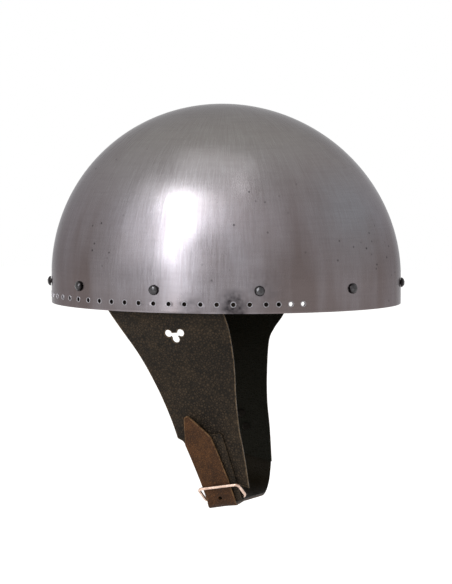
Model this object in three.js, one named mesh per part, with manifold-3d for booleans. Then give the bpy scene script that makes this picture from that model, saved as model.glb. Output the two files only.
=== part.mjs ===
// A plain iron skull cap with a riveted leather liner and a leather chin strap.
// Millimetres. +X is the wearer's front, +Y the wearer's left, +Z up.
// The origin is the centre of the rim, in the plane of the rim's lower edge.
// Around the skull an angle of 0 is the wearer's right side, 90 the front and -90 the back.
import * as THREE from "three";
import { mergeVertices } from "three/addons/utils/BufferGeometryUtils.js";
import Module from "manifold-3d";

const wasm = await Module();
wasm.setup();

// Fits and cuts
const seatGap = 0.3;
const rivetHoleClearance = 0.3;
const cutOverrun = 4;
const weldDistance = 0.001;

// Skull
const skullHalfLength = 117.3;
const skullHalfWidth = 98;
const skullHeight = 132.2;
const skullWallHeight = 17.5;
const skullPlate = 1.6;
const crownSetback = 2.3;
const skullFacets = 56;
const crownRows = 12;

// Row of holes for a mail curtain, counted from the middle of the back to one front end
const curtainHoleRadius = 1.4;
const curtainHoleHeight = 5.7;
const curtainHolePitch = 10.25;
const curtainHolesPerSide = 21;
const curtainEndPitch = 8;
const curtainEndHoles = 3;
const curtainHoleSides = 6;

// Round headed rivets through plate, liner band and, at two of them, the cheek flaps
const rivetHeight = 14.2;
const rivetShankRadius = 1.5;
const rivetHeadRadius = 3.3;
const rivetHeadRise = 2.4;
const rivetTailRadius = 2.6;
const rivetTailThickness = 1.2;
const rivetSides = 10;
const rivetHeadRows = 3;
const washerRadius = 4;
const washerThickness = 1;
const rivetAngles = { 1: 51, 2: 18, 3: -15, 4: -46, 5: -78 };
const flapRivet = 3;

// Liner band. Round the back and sides it reaches down behind the curtain holes, in front it does not.
const bandThickness = 1.8;
const bandSeatGap = 0.4;
const bandLowerEdge = 3.9;
const bandFrontLowerEdge = 9.6;
const bandFrontDegrees = [64, 71];
const bandUpperEdge = 42;
const bandEndGap = 0.6;
const bandRows = 3;

// Liner petals and the lace that gathers them
const petalSeatGap = 0.6;
const petalCount = 8;
const petalThickness = 1.5;
const petalOverlap = 10;
const petalHeadroom = 24.2;
const petalSideGap = 3;
const petalTipShare = 0.15;
const petalColumns = 4;
const petalRows = 7;
const laceShare = 0.213;
const laceRadius = 1.25;
const laceHoleRadius = 3.25;
const laceWave = 5.5;
const laceSides = 6;
const laceSteps = 56;
const laceTailLength = 9;
const laceKnotRadius = 3;
const laceKnotSides = 10;
const laceKnotRows = 6;
const lacePointsPerPetal = 6;

// Cheek flaps. Each one follows the skull wall at its top and turns flat lower down.
const flapThickness = 2.4;
const flapClearance = 0.85;
const flapDrop = 116.4;
const flapReach = 64;
const flapTopEdge = 2.5;
const flapEarRadius = 8.5;
const flapEarFoot = 13;
const flapFoldHalf = 6;
const flapFlatFrom = 45;
const flapFlatHalfWidth = 88;
const flapYawSlope = 0.194;
const flapLeanSlope = 0.32;
const flapColumns = 7;
const flapRows = 10;
const flapCurveSteps = 5;
const flapRearTopShares = [
  [-0.95, 0.017],
  [-1, 0],
];
// The left flap is cut narrower below its top, so that light comes through both ear holes.
const flapRearShares = {
  right: [
    [-0.734, -0.215],
    [-0.569, -0.395],
    [-0.475, -0.515],
    [-0.397, -0.636],
    [-0.35, -0.728],
  ],
  left: [
    [-0.58, -0.2],
    [-0.52, -0.36],
    [-0.465, -0.515],
    [-0.397, -0.636],
    [-0.35, -0.728],
  ],
};
const flapRearCornerShares = [-0.297, -0.743];
const flapLowCornerShares = [-0.06, -0.925];
const flapFrontCornerShares = [0.378, -1];
const flapFrontShares = [
  [0.341, -0.802],
  [0.303, -0.653],
  [0.286, -0.487],
];
const flapFrontTopShares = {
  right: [
    [0.284, -0.28],
    [0.25, -0.092],
    [0.197, 0.015],
  ],
  left: [
    [0.292, -0.295],
    [0.345, -0.216],
    [0.43, -0.146],
    [0.49, -0.07],
    [0.5, -0.03],
  ],
};

// Three lobed ear hole in each flap
const earHoleLobeRadius = 2.4;
const earHoleSpread = 4.6;
const earHoleForward = -19;
const earHoleDrop = 15.2;
const earHoleLobeShares = [
  [0, 0],
  [-0.9, 0.27],
  [0.85, 0.41],
  [0.13, -0.5],
];

// Buckle tab on the right flap. Places along it run from the pivot bar upwards.
const tabThickness = 1.5;
const tabWidth = 21.4;
const tabLength = 46.8;
const tabSlant = 11;
const tabSlotWidth = 3.2;
const tabSlotReach = 12.5;
const tabLegRows = 2;
const tabFoldRows = 6;
const tabSteps = 20;
const tabRivetReaches = [30.5, 40];

// Flat rivets of the tab and of the strap
const smallRivetRadius = 1.3;
const smallRivetHeadRadius = 2.8;
const smallRivetHeadThickness = 0.9;
const smallRivetSides = 10;

// Buckle: a wire frame whose hidden bar is the pivot, and a tongue on it
const buckleWireRadius = 1;
const buckleWidth = 28.2;
const buckleDepth = 13.2;
const buckleSidestep = 1.3;
const buckleCornerRadius = 2.4;
const buckleForward = 9.1;
const buckleBelowFlap = 8.4;
const buckleWireSides = 8;
const buckleSteps = 40;
const tongueWireRadius = 0.8;
const tongueClearance = 0.25;
const tongueReach = 10.6;
const tongueEyeDegrees = 300;
const tongueEyeSteps = 12;
const tongueProngSteps = 3;
const tongueSteps = 22;
const tongueSides = 6;

// Chin strap, from its pointed tip on the right flap, under the chin, to the left flap
const strapWidth = 19.4;
const strapThickness = 1.8;
const strapTailLength = 62;
const strapTailSidestep = 9.05;
const strapTipTaper = 18;
const strapTipWidth = 2.6;
const strapTipRoundness = 0.92;
const strapHoleRadius = 1.3;
const strapHoleReach = 2.9;
const strapSteps = 54;
const strapTailShares = [
  [-1, -1],
  [-0.934, -0.945],
  [-0.83, -0.865],
  [-0.672, -0.734],
  [-0.477, -0.465],
  [-0.348, -0.209],
  [-0.318, 0],
];
const strapTurnDegrees = [24, 48, 72];
const strapTurnDrift = -1;
const chinHalfWidth = 56;
const chinBelowFlap = 17;
const chinForward = 13.6;
const chinShares = [
  [0.57, -0.5, -0.965],
  [0.7, 0, -0.99],
  [0.81, 0.36, -1],
  [0.92, 0.67, -0.995],
  [0.97, 0.84, -0.975],
  [1, 0.94, -0.93],
];
const strapLeftForwards = [13.6, 8.6, -0.4];
const strapLeftRises = [4.4, 15.4, 36.4];
const strapRivetRises = [32.4, 23.4];

// Finishes
const polishedSteel = { color: 0x8f8a90, roughness: 0.32, metalness: 1 };
const darkIron = { color: 0x57504c, roughness: 0.4, metalness: 1 };
const linerLeather = { color: 0x8a6a48, roughness: 0.85, metalness: 0 };
const darkLeather = { color: 0x2e2620, roughness: 0.7, metalness: 0 };
const russetLeather = { color: 0x6b4428, roughness: 0.62, metalness: 0 };
const brass = { color: 0xc9a487, roughness: 0.28, metalness: 1 };
const lacing = { color: 0x5c4632, roughness: 0.8, metalness: 0 };

const up = new THREE.Vector3(0, 0, 1);
const radians = THREE.MathUtils.degToRad;
const sides = { right: -1, left: 1 };

// A closed solid from a geometry, with its shared corners joined and its faces turned outwards.
function solidOf(geometry) {
  const bare = new THREE.BufferGeometry().setAttribute(
    "position",
    (geometry.index ? geometry.toNonIndexed() : geometry).getAttribute("position"),
  );
  const welded = mergeVertices(bare, weldDistance);
  const corners = welded.index.array;
  const kept = [];
  for (let i = 0; i < corners.length; i += 3) {
    const [a, b, c] = [corners[i], corners[i + 1], corners[i + 2]];
    if (a !== b && b !== c && c !== a) kept.push(a, b, c);
  }
  const vertProperties = welded.attributes.position.array;
  const build = (order) =>
    new wasm.Manifold(
      new wasm.Mesh({ numProp: 3, vertProperties, triVerts: new Uint32Array(order) }),
    );
  const solid = build(kept);
  return solid.volume() < 0 ? build(kept.reverse()) : solid;
}

// A mesh of a solid, as a named piece with its own finish.
function piece(name, solid, finish) {
  const { numProp, vertProperties, triVerts } = solid.getMesh();
  const places = new Float32Array((vertProperties.length / numProp) * 3);
  for (let i = 0; i * numProp < vertProperties.length; i += 1) {
    places.set(vertProperties.subarray(i * numProp, i * numProp + 3), i * 3);
  }
  const geometry = new THREE.BufferGeometry();
  geometry.setAttribute("position", new THREE.BufferAttribute(places, 3));
  geometry.setIndex(new THREE.BufferAttribute(new Uint32Array(triVerts), 1));
  geometry.computeVertexNormals();
  const mesh = new THREE.Mesh(geometry, new THREE.MeshStandardMaterial(finish));
  mesh.name = name;
  return mesh;
}

// Moves every corner of a geometry to the place that a rule gives for it.
function reshape(geometry, place) {
  const places = geometry.getAttribute("position");
  for (let i = 0; i < places.count; i += 1) {
    const { x, y, z } = place(places.getX(i), places.getY(i), places.getZ(i));
    places.setXYZ(i, x, y, z);
  }
  return geometry;
}

// Turns a geometry's own Y axis to a direction and puts its origin at a point.
function aim(geometry, point, direction) {
  const turn = new THREE.Quaternion().setFromUnitVectors(THREE.Object3D.DEFAULT_UP, direction);
  return geometry.applyQuaternion(turn).translate(point.x, point.y, point.z);
}

// A round cutter through a point.
function drill(point, direction, radius, length, roundSides) {
  return solidOf(
    aim(new THREE.CylinderGeometry(radius, radius, length, roundSides), point, direction),
  );
}

function joined(solids) {
  return solids.reduce((whole, next) => whole.add(next));
}

function backwardLean(height) {
  return crownSetback * (height / skullHeight) ** 2;
}

// A point at a depth below the skull's outer surface.
function skullPoint(angle, height, depth) {
  const rise = skullHeight - skullWallHeight - depth;
  const above = Math.max(0, height - skullWallHeight) / rise;
  const narrowing = Math.sqrt(Math.max(0, 1 - above ** 2));
  return new THREE.Vector3(
    (skullHalfLength - depth) * narrowing * Math.sin(angle) - backwardLean(height),
    -(skullHalfWidth - depth) * narrowing * Math.cos(angle),
    height,
  );
}

// The level direction that faces out of the skull wall at an angle.
function wallNormal(angle) {
  return new THREE.Vector3(
    Math.sin(angle) / skullHalfLength,
    -Math.cos(angle) / skullHalfWidth,
    0,
  ).normalize();
}

// The whole skull as a filled body, at a depth below its outer surface.
function filledSkull(depth, lowerEdge) {
  const rise = skullHeight - skullWallHeight - depth;
  const profile = [new THREE.Vector2(0, lowerEdge), new THREE.Vector2(1, lowerEdge)];
  for (let row = 0; row <= crownRows; row += 1) {
    const turn = ((Math.PI / 2) * row) / crownRows;
    const across = row === crownRows ? 0 : Math.cos(turn);
    profile.push(new THREE.Vector2(across, skullWallHeight + rise * Math.sin(turn)));
  }
  const turned = new THREE.LatheGeometry(profile, skullFacets).rotateX(Math.PI / 2);
  return solidOf(
    reshape(turned, (x, y, z) => ({
      x: x * (skullHalfLength - depth) - backwardLean(Math.max(0, z)),
      y: y * (skullHalfWidth - depth),
      z,
    })),
  );
}

// Arc lengths along the rim, from the middle of the back, of one side's curtain holes.
function curtainHolePlaces() {
  const places = [];
  for (let hole = 0; hole < curtainHolesPerSide; hole += 1) {
    places.push((hole + 0.5) * curtainHolePitch);
  }
  const last = places.at(-1);
  for (let hole = 1; hole <= curtainEndHoles; hole += 1) {
    places.push(last + hole * curtainEndPitch);
  }
  return places;
}

function curtainHoles() {
  const rim = new THREE.EllipseCurve(0, 0, skullHalfLength, skullHalfWidth, Math.PI, 3 * Math.PI);
  const around = rim.getLength();
  const cutters = [];
  for (const place of curtainHolePlaces()) {
    const onRim = rim.getPointAt(place / around);
    const angle = Math.atan2(onRim.x / skullHalfLength, -onRim.y / skullHalfWidth);
    for (const mirroredAngle of [angle, Math.PI - angle]) {
      cutters.push(
        drill(
          skullPoint(mirroredAngle, curtainHoleHeight, skullPlate / 2),
          wallNormal(mirroredAngle),
          curtainHoleRadius,
          skullPlate + 2 * cutOverrun,
          curtainHoleSides,
        ),
      );
    }
  }
  return joined(cutters);
}

// Names and angles of the skull's rivets: one in front, and the pairs on both sides.
function rivetPlaces() {
  const places = [{ label: "front", angle: Math.PI / 2, grips: "band" }];
  for (const [number, degrees] of Object.entries(rivetAngles)) {
    const grips = Number(number) === flapRivet ? "flap" : "band";
    places.push({ label: "right_" + number, angle: radians(degrees), grips });
    places.push({ label: "left_" + number, angle: Math.PI - radians(degrees), grips });
  }
  return places;
}

const bandDepth = skullPlate + bandSeatGap;
const bandInnerDepth = bandDepth + bandThickness;
const flapDepth = bandInnerDepth + flapClearance;
const flapSlopeFactor = Math.hypot(1, flapYawSlope, flapLeanSlope);
const flapThicknessAcross = flapThickness * flapSlopeFactor;
const washerDepth = {
  band: bandInnerDepth + seatGap,
  flap: flapDepth + flapThicknessAcross + 2 * seatGap,
};

function rivetHoles() {
  return joined(
    rivetPlaces().map(({ angle }) =>
      drill(
        skullPoint(angle, rivetHeight, bandDepth),
        wallNormal(angle),
        rivetShankRadius + rivetHoleClearance,
        bandInnerDepth + 2 * cutOverrun,
        rivetSides,
      ),
    ),
  );
}

function makeSkull() {
  const shell = filledSkull(0, 0).subtract(filledSkull(skullPlate, -cutOverrun));
  return piece("skull_cap", shell.subtract(curtainHoles()).subtract(rivetHoles()), polishedSteel);
}

function makeRivet({ label, angle, grips }) {
  const tailStart = -(washerDepth[grips] + washerThickness + seatGap);
  const profile = [
    new THREE.Vector2(0, tailStart - rivetTailThickness),
    new THREE.Vector2(rivetTailRadius - rivetTailThickness / 2, tailStart - rivetTailThickness),
    new THREE.Vector2(rivetTailRadius, tailStart - rivetTailThickness / 2),
    new THREE.Vector2(rivetTailRadius, tailStart),
    new THREE.Vector2(rivetShankRadius, tailStart),
    new THREE.Vector2(rivetShankRadius, seatGap),
  ];
  for (let step = 0; step <= rivetHeadRows; step += 1) {
    const turn = ((Math.PI / 2) * step) / rivetHeadRows;
    const across = step === rivetHeadRows ? 0 : rivetHeadRadius * Math.cos(turn);
    profile.push(new THREE.Vector2(across, seatGap + rivetHeadRise * Math.sin(turn)));
  }
  const turned = new THREE.LatheGeometry(profile, rivetSides);
  aim(turned, skullPoint(angle, rivetHeight, 0), wallNormal(angle));
  return piece("rivet_" + label, solidOf(turned), darkIron);
}

function makeWasher({ label, angle, grips }) {
  const hole = rivetShankRadius + rivetHoleClearance;
  const profile = [
    new THREE.Vector2(hole, 0),
    new THREE.Vector2(washerRadius, 0),
    new THREE.Vector2(washerRadius, washerThickness),
    new THREE.Vector2(hole, washerThickness),
    new THREE.Vector2(hole, 0),
  ];
  const turned = new THREE.LatheGeometry(profile, rivetSides);
  const normal = wallNormal(angle);
  const seat = skullPoint(angle, rivetHeight, 0).addScaledVector(
    normal,
    -(washerDepth[grips] + washerThickness),
  );
  return piece("washer_" + label, solidOf(aim(turned, seat, normal)), darkIron);
}

// The band is one strip round the skull. Its two ends meet at the back.
function makeBand() {
  const strip = new THREE.BoxGeometry(1, 1, 1, skullFacets, 1, bandRows);
  const endGapAngle = bandEndGap / skullHalfWidth;
  const wrapped = reshape(strip, (x, y, z) => {
    const fromFront = x * (2 * Math.PI - endGapAngle);
    const [start, end] = bandFrontDegrees.map(radians);
    const sideShare = THREE.MathUtils.smoothstep(Math.abs(fromFront), start, end);
    const lowerEdge = THREE.MathUtils.lerp(bandFrontLowerEdge, bandLowerEdge, sideShare);
    return skullPoint(
      Math.PI / 2 + fromFront,
      THREE.MathUtils.lerp(lowerEdge, bandUpperEdge, z + 0.5),
      THREE.MathUtils.lerp(bandDepth, bandInnerDepth, y + 0.5),
    );
  });
  return piece("liner_band", solidOf(wrapped).subtract(rivetHoles()), darkLeather);
}

const petalDepth = bandInnerDepth + petalSeatGap;
const petalRise = skullHeight - bandUpperEdge - petalHeadroom;

// A point on a petal: a share of the way from its foot to its tip, and a depth in its leather.
function petalPoint(angle, along, depth) {
  const footLength = petalOverlap / (petalOverlap + petalRise * (Math.PI / 2));
  if (along < footLength) {
    const height = bandUpperEdge - petalOverlap * (1 - along / footLength);
    return skullPoint(angle, height, petalDepth + depth);
  }
  const tipTurn = Math.acos(petalTipShare);
  const turn = (tipTurn * (along - footLength)) / (1 - footLength);
  const foot = skullPoint(angle, bandUpperEdge, petalDepth + depth);
  const lean = backwardLean(bandUpperEdge);
  return new THREE.Vector3(
    (foot.x + lean) * Math.cos(turn) - lean,
    foot.y * Math.cos(turn),
    bandUpperEdge + (petalRise - depth) * Math.sin(turn),
  );
}

// A point of the lace's ring, at a height above or below the petals' leather.
function lacePoint(angle, wave) {
  const foot = skullPoint(angle, bandUpperEdge, petalDepth + petalThickness / 2);
  const lean = backwardLean(bandUpperEdge);
  return new THREE.Vector3(
    (foot.x + lean) * laceShare - lean,
    foot.y * laceShare,
    bandUpperEdge + (petalRise - petalThickness / 2) * Math.sqrt(1 - laceShare ** 2) + wave,
  );
}

function makePetal(number) {
  const middle = ((number - 0.5) * 2 * Math.PI) / petalCount;
  const sheet = new THREE.BoxGeometry(1, 1, 1, petalColumns, 1, petalRows);
  const bent = reshape(sheet, (x, y, z) => {
    const along = z + 0.5;
    const onMiddle = petalPoint(middle, along, 0);
    const radius = Math.hypot(onMiddle.x, onMiddle.y);
    const spread = (2 * Math.PI) / petalCount - petalSideGap / radius;
    return petalPoint(middle + x * spread, along, (y + 0.5) * petalThickness);
  });
  const hole = drill(
    lacePoint(middle, 0),
    up,
    laceHoleRadius,
    petalThickness + 2 * cutOverrun,
    rivetSides,
  );
  return piece("liner_petal_" + number, solidOf(bent).subtract(hole), linerLeather);
}

// The lace dips through every petal's hole, and is knotted between two petals.
function makeLace() {
  const knotAngle = 0;
  const wavePerTurn = petalCount / 2;
  const path = new THREE.CatmullRomCurve3();
  const pointCount = lacePointsPerPetal * petalCount;
  const knotPoint = lacePoint(knotAngle, laceWave);
  const endAngle = laceKnotRadius / 2 / Math.hypot(knotPoint.x, knotPoint.y);
  for (let i = 0; i <= pointCount; i += 1) {
    const angle = knotAngle + endAngle + ((2 * Math.PI - 2 * endAngle) * i) / pointCount;
    path.points.push(lacePoint(angle, laceWave * Math.cos(wavePerTurn * (angle - knotAngle))));
  }
  const ring = roundTube(path, laceRadius, laceSides, laceSteps);
  const knot = solidOf(
    new THREE.SphereGeometry(laceKnotRadius, laceKnotSides, laceKnotRows).translate(
      knotPoint.x,
      knotPoint.y,
      knotPoint.z,
    ),
  );
  const tails = [-1, 1].map((turn) => {
    const end = knotPoint.clone();
    end.x += turn * laceTailLength;
    end.y += laceTailLength / 2;
    end.z += laceKnotRadius;
    return roundTube(new THREE.LineCurve3(knotPoint, end), laceRadius, laceSides, 1);
  });
  return piece("crown_lace", joined([ring, knot, ...tails]), lacing);
}

function roundTube(path, radius, roundSides, steps) {
  const section = new THREE.Shape();
  for (let i = 0; i < roundSides; i += 1) {
    const turn = (2 * Math.PI * i) / roundSides;
    const [x, y] = [radius * Math.cos(turn), radius * Math.sin(turn)];
    if (i === 0) section.moveTo(x, y);
    else section.lineTo(x, y);
  }
  return solidOf(
    new THREE.ExtrudeGeometry(section, { steps, extrudePath: path, bevelEnabled: false }),
  );
}

// How far out the outer face of a flap lies, before its side is chosen.
function flapFaceOut(forward, height) {
  const wall =
    (skullHalfWidth - flapDepth) * Math.sqrt(1 - (forward / (skullHalfLength - flapDepth)) ** 2);
  const flat = flapFlatHalfWidth + flapYawSlope * forward;
  const lower = THREE.MathUtils.smoothstep(-height, 0, flapFlatFrom);
  const folding = THREE.MathUtils.clamp(flapFoldHalf - height, 0, 2 * flapFoldHalf);
  const beyondFold = Math.max(0, -flapFoldHalf - height);
  const lean = folding ** 2 / (4 * flapFoldHalf) + beyondFold;
  return THREE.MathUtils.lerp(wall, flat, lower) - flapLeanSlope * lean;
}

function flapOutline(side) {
  const place = ([forward, height]) =>
    new THREE.Vector2(forward * flapReach, height * flapDrop);
  const rivet = flapRivetPoint(side);
  const outline = new THREE.Shape();
  const frontCorner = place(flapFrontCornerShares);
  outline.moveTo(frontCorner.x, frontCorner.y);
  outline.splineThru([...flapFrontShares, ...flapFrontTopShares[side]].map(place));
  outline.lineTo(rivet.x + flapEarFoot, flapTopEdge);
  outline.lineTo(rivet.x + flapEarRadius, rivet.z);
  outline.absarc(rivet.x, rivet.z, flapEarRadius, 0, Math.PI);
  outline.lineTo(rivet.x - flapEarFoot, flapTopEdge);
  for (const shares of flapRearTopShares) {
    const corner = place(shares);
    outline.lineTo(corner.x, corner.y);
  }
  outline.splineThru(flapRearShares[side].map(place));
  for (const shares of [flapRearCornerShares, flapLowCornerShares]) {
    const corner = place(shares);
    outline.lineTo(corner.x, corner.y);
  }
  return outline;
}

function flapRivetAngle(side) {
  const right = radians(rivetAngles[flapRivet]);
  return side === "right" ? right : Math.PI - right;
}

function flapRivetPoint(side) {
  return skullPoint(flapRivetAngle(side), rivetHeight, flapDepth);
}

function earHole(side) {
  const inwards = sides[side] * flapFaceOut(earHoleForward, -earHoleDrop);
  const lobes = earHoleLobeShares.map(([forward, height]) =>
    drill(
      new THREE.Vector3(
        earHoleForward + forward * earHoleSpread,
        inwards,
        -earHoleDrop + height * earHoleSpread,
      ),
      new THREE.Vector3(0, 1, 0),
      earHoleLobeRadius,
      flapThickness + 4 * cutOverrun,
      rivetSides,
    ),
  );
  return joined(lobes);
}

function makeFlap(side) {
  const rear = -flapReach - cutOverrun;
  const front = flapReach;
  const low = -flapDrop - cutOverrun;
  const high = rivetHeight + flapEarRadius + cutOverrun;
  const sheet = new THREE.BoxGeometry(1, 1, 1, flapColumns, 1, flapRows);
  reshape(sheet, (x, y, z) => {
    const forward = THREE.MathUtils.lerp(rear, front, x + 0.5);
    const height = THREE.MathUtils.lerp(low, high, z + 0.5);
    const out = flapFaceOut(forward, height) - flapThicknessAcross * (y + 0.5);
    return { x: forward, y: sides[side] * out, z: height };
  });
  const prism = new THREE.ExtrudeGeometry(flapOutline(side), {
    depth: 2 * skullHalfWidth,
    curveSegments: flapCurveSteps,
    bevelEnabled: false,
  });
  prism.rotateX(Math.PI / 2);
  if (side === "left") prism.translate(0, 2 * skullHalfWidth, 0);
  const angle = flapRivetAngle(side);
  const rivetHole = drill(
    flapRivetPoint(side),
    wallNormal(angle),
    rivetShankRadius + rivetHoleClearance,
    flapThickness + 2 * cutOverrun,
    rivetSides,
  );
  let flap = solidOf(sheet).intersect(solidOf(prism)).subtract(earHole(side)).subtract(rivetHole);
  const held = side === "right" ? tabRivetSeats() : strapRivetSeats();
  for (const { point, normal } of held) {
    flap = flap.subtract(smallRivetHole(point, normal));
  }
  return piece("cheek_flap_" + side, flap, darkLeather);
}

// Directions of the flat lower part of a flap: its outward normal and the line down it.
function flapNormal(side) {
  return new THREE.Vector3(-flapYawSlope, sides[side], -flapLeanSlope).normalize();
}

function downFlap(side, slant) {
  const normal = flapNormal(side);
  const level = new THREE.Vector3().crossVectors(up, normal).multiplyScalar(-sides[side]);
  level.normalize();
  const steepest = up.clone().addScaledVector(normal, -up.dot(normal)).negate().normalize();
  return steepest.multiplyScalar(Math.cos(slant)).addScaledVector(level, Math.sin(slant));
}

// A point at a height on a flap's flat part, raised off its outer face.
function onFlap(side, forward, drop, raised) {
  const out = flapFlatHalfWidth + flapYawSlope * forward - flapLeanSlope * drop;
  const point = new THREE.Vector3(forward, sides[side] * out, -drop);
  return point.addScaledVector(flapNormal(side), raised);
}

// The tab's own directions: out of the flap, down the tab, and across it towards the front.
const tabNormal = flapNormal("right");
const tabDown = downFlap("right", radians(tabSlant));
const tabAcross = new THREE.Vector3().crossVectors(tabNormal, tabDown).normalize();
if (tabAcross.x < 0) tabAcross.negate();

const tabFoldRadius = (flapThickness + tabThickness) / 2 + seatGap;
const tabMiddleOut = seatGap + tabThickness / 2;
const pivotOut = tabMiddleOut - tabFoldRadius;
const pivot = onFlap("right", buckleForward, flapDrop + buckleBelowFlap, pivotOut);

// A point in the tab's own directions, counted from the buckle's pivot bar.
function fromPivot(across, down, out) {
  return pivot
    .clone()
    .addScaledVector(tabAcross, across)
    .addScaledVector(tabDown, down)
    .addScaledVector(tabNormal, out);
}

// A flat strip that follows a path. Each path row has a point and the strip's outward direction.
// The steps between two rows are alike in number, so close rows give a finer bend.
function ribbon(rows, width, thickness, steps) {
  const path = new THREE.CatmullRomCurve3(rows.map(([point]) => point));
  const facing = new THREE.CatmullRomCurve3(rows.map(([, direction]) => direction));
  const strip = new THREE.BoxGeometry(1, 1, 1, 1, 1, steps);
  reshape(strip, (x, y, z) => {
    const share = z + 0.5;
    const tangent = path.getTangent(share);
    const across = new THREE.Vector3().crossVectors(tangent, facing.getPoint(share)).normalize();
    const out = new THREE.Vector3().crossVectors(across, tangent).normalize();
    const middle = path.getPoint(share);
    const fromStart = middle.distanceTo(rows[0][0]);
    return middle
      .addScaledVector(across, x * width(fromStart))
      .addScaledVector(out, y * thickness);
  });
  return solidOf(strip);
}

// A straight sided block in the tab's own directions.
function tabBlock(acrossRange, downRange, outRange) {
  const block = new THREE.BoxGeometry(1, 1, 1);
  return solidOf(
    reshape(block, (x, y, z) =>
      fromPivot(
        THREE.MathUtils.lerp(...acrossRange, x + 0.5),
        THREE.MathUtils.lerp(...downRange, y + 0.5),
        THREE.MathUtils.lerp(...outRange, z + 0.5),
      ),
    ),
  );
}

function tabRivetSeats() {
  return tabRivetReaches.map((reach) => ({
    point: fromPivot(0, -reach, tabFoldRadius + tabThickness / 2),
    normal: tabNormal,
    depth: flapThickness + 2 * tabThickness + 2 * seatGap,
  }));
}

function strapRivetSeats() {
  const normal = flapNormal("left");
  return strapRivetRises.map((rise) => ({
    point: onLeftFlap(strapLeftForwardAt(rise), rise, seatGap + strapThickness),
    normal,
    depth: flapThickness + strapThickness + seatGap,
  }));
}

// A point on the left flap, at a rise above its lowest corner.
function onLeftFlap(forward, rise, raised) {
  return onFlap("left", forward, flapDrop - rise, raised);
}

function strapLeftForwardAt(rise) {
  const [low, high] = [strapLeftRises[1], strapLeftRises[2]];
  const share = (rise - low) / (high - low);
  return THREE.MathUtils.lerp(strapLeftForwards[1], strapLeftForwards[2], share);
}

function smallRivetHole(point, normal) {
  return drill(
    point,
    normal,
    smallRivetRadius + rivetHoleClearance,
    4 * cutOverrun,
    smallRivetSides,
  );
}

// A recess for a head that lies flush in the leather's outer face.
function headRecess(point, normal) {
  const depth = smallRivetHeadThickness + seatGap;
  const middle = point.clone().addScaledVector(normal, cutOverrun / 2 - depth);
  const radius = smallRivetHeadRadius + rivetHoleClearance;
  return drill(middle, normal, radius, cutOverrun, smallRivetSides);
}

// A rivet with a flush outer head and a proud inner one.
function makeSmallRivet(name, { point, normal, depth }, finish) {
  const outer = -smallRivetHeadThickness;
  const inner = -(depth + seatGap);
  const profile = [
    new THREE.Vector2(0, inner - smallRivetHeadThickness),
    new THREE.Vector2(smallRivetHeadRadius, inner - smallRivetHeadThickness),
    new THREE.Vector2(smallRivetHeadRadius, inner),
    new THREE.Vector2(smallRivetRadius, inner),
    new THREE.Vector2(smallRivetRadius, outer),
    new THREE.Vector2(smallRivetHeadRadius, outer),
    new THREE.Vector2(smallRivetHeadRadius, 0),
    new THREE.Vector2(0, 0),
  ];
  const turned = new THREE.LatheGeometry(profile, smallRivetSides);
  return piece(name, solidOf(aim(turned, point, normal)), finish);
}

// The tab lies on the flap's outer face, folds round the pivot bar and ends on its inner face.
function makeTab() {
  const rows = [];
  for (let row = 0; row < tabLegRows; row += 1) {
    const down = -tabLength * (1 - row / tabLegRows);
    rows.push([fromPivot(0, down, tabFoldRadius), tabNormal]);
  }
  for (let row = 0; row <= tabFoldRows; row += 1) {
    const turn = (Math.PI * row) / tabFoldRows;
    const out = tabNormal
      .clone()
      .multiplyScalar(Math.cos(turn))
      .addScaledVector(tabDown, Math.sin(turn));
    rows.push([pivot.clone().addScaledVector(out, tabFoldRadius), out]);
  }
  for (let row = 1; row <= tabLegRows; row += 1) {
    const down = (-tabLength * row) / tabLegRows;
    rows.push([fromPivot(0, down, -tabFoldRadius), tabNormal.clone().negate()]);
  }
  let tab = ribbon(rows, () => tabWidth, tabThickness, tabSteps);
  const wide = [-tabSlotWidth / 2, tabSlotWidth / 2];
  const beyond = tabFoldRadius + cutOverrun;
  tab = tab.subtract(tabBlock(wide, [-tabSlotReach, beyond], [0, beyond]));
  tab = tab.subtract(tabBlock(wide, [-tabFoldRadius, beyond], [-beyond, seatGap]));
  for (const { point, normal } of tabRivetSeats()) {
    tab = tab.subtract(smallRivetHole(point, normal)).subtract(headRecess(point, normal));
  }
  return piece("buckle_tab", tab, darkLeather);
}

function makeTabRivets() {
  return tabRivetSeats().map((seat, i) => makeSmallRivet("tab_rivet_" + (i + 1), seat, brass));
}

function makeStrapRivets() {
  return strapRivetSeats().map((seat, i) => makeSmallRivet("strap_rivet_" + (i + 1), seat, darkIron));
}

const strapOut = tabFoldRadius + tabThickness / 2 + seatGap + strapThickness / 2;

function strapRows() {
  const rows = strapTailShares.map(([across, down]) => [
    fromPivot(across * strapTailSidestep, down * strapTailLength, strapOut),
    tabNormal,
  ]);
  const lastAcross = strapTailShares.at(-1)[0] * strapTailSidestep;
  for (const degrees of strapTurnDegrees) {
    const turn = radians(degrees);
    const out = tabNormal
      .clone()
      .multiplyScalar(Math.cos(turn))
      .addScaledVector(tabDown, Math.sin(turn));
    const across = lastAcross + (strapTurnDrift * degrees) / strapTurnDegrees.at(-1);
    rows.push([fromPivot(across, 0, 0).addScaledVector(out, strapOut), out]);
  }
  const leftNormal = flapNormal("left");
  for (const [forward, across, height] of chinShares) {
    const point = new THREE.Vector3(
      forward * chinForward,
      across * chinHalfWidth,
      height * (flapDrop + chinBelowFlap),
    );
    const bend = THREE.MathUtils.smoothstep(across, 0, 1);
    rows.push([point, up.clone().negate().lerp(leftNormal, bend)]);
  }
  strapLeftRises.forEach((rise, i) => {
    const raised = seatGap + strapThickness / 2;
    rows.push([onLeftFlap(strapLeftForwards[i], rise, raised), leftNormal]);
  });
  return rows;
}

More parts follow.
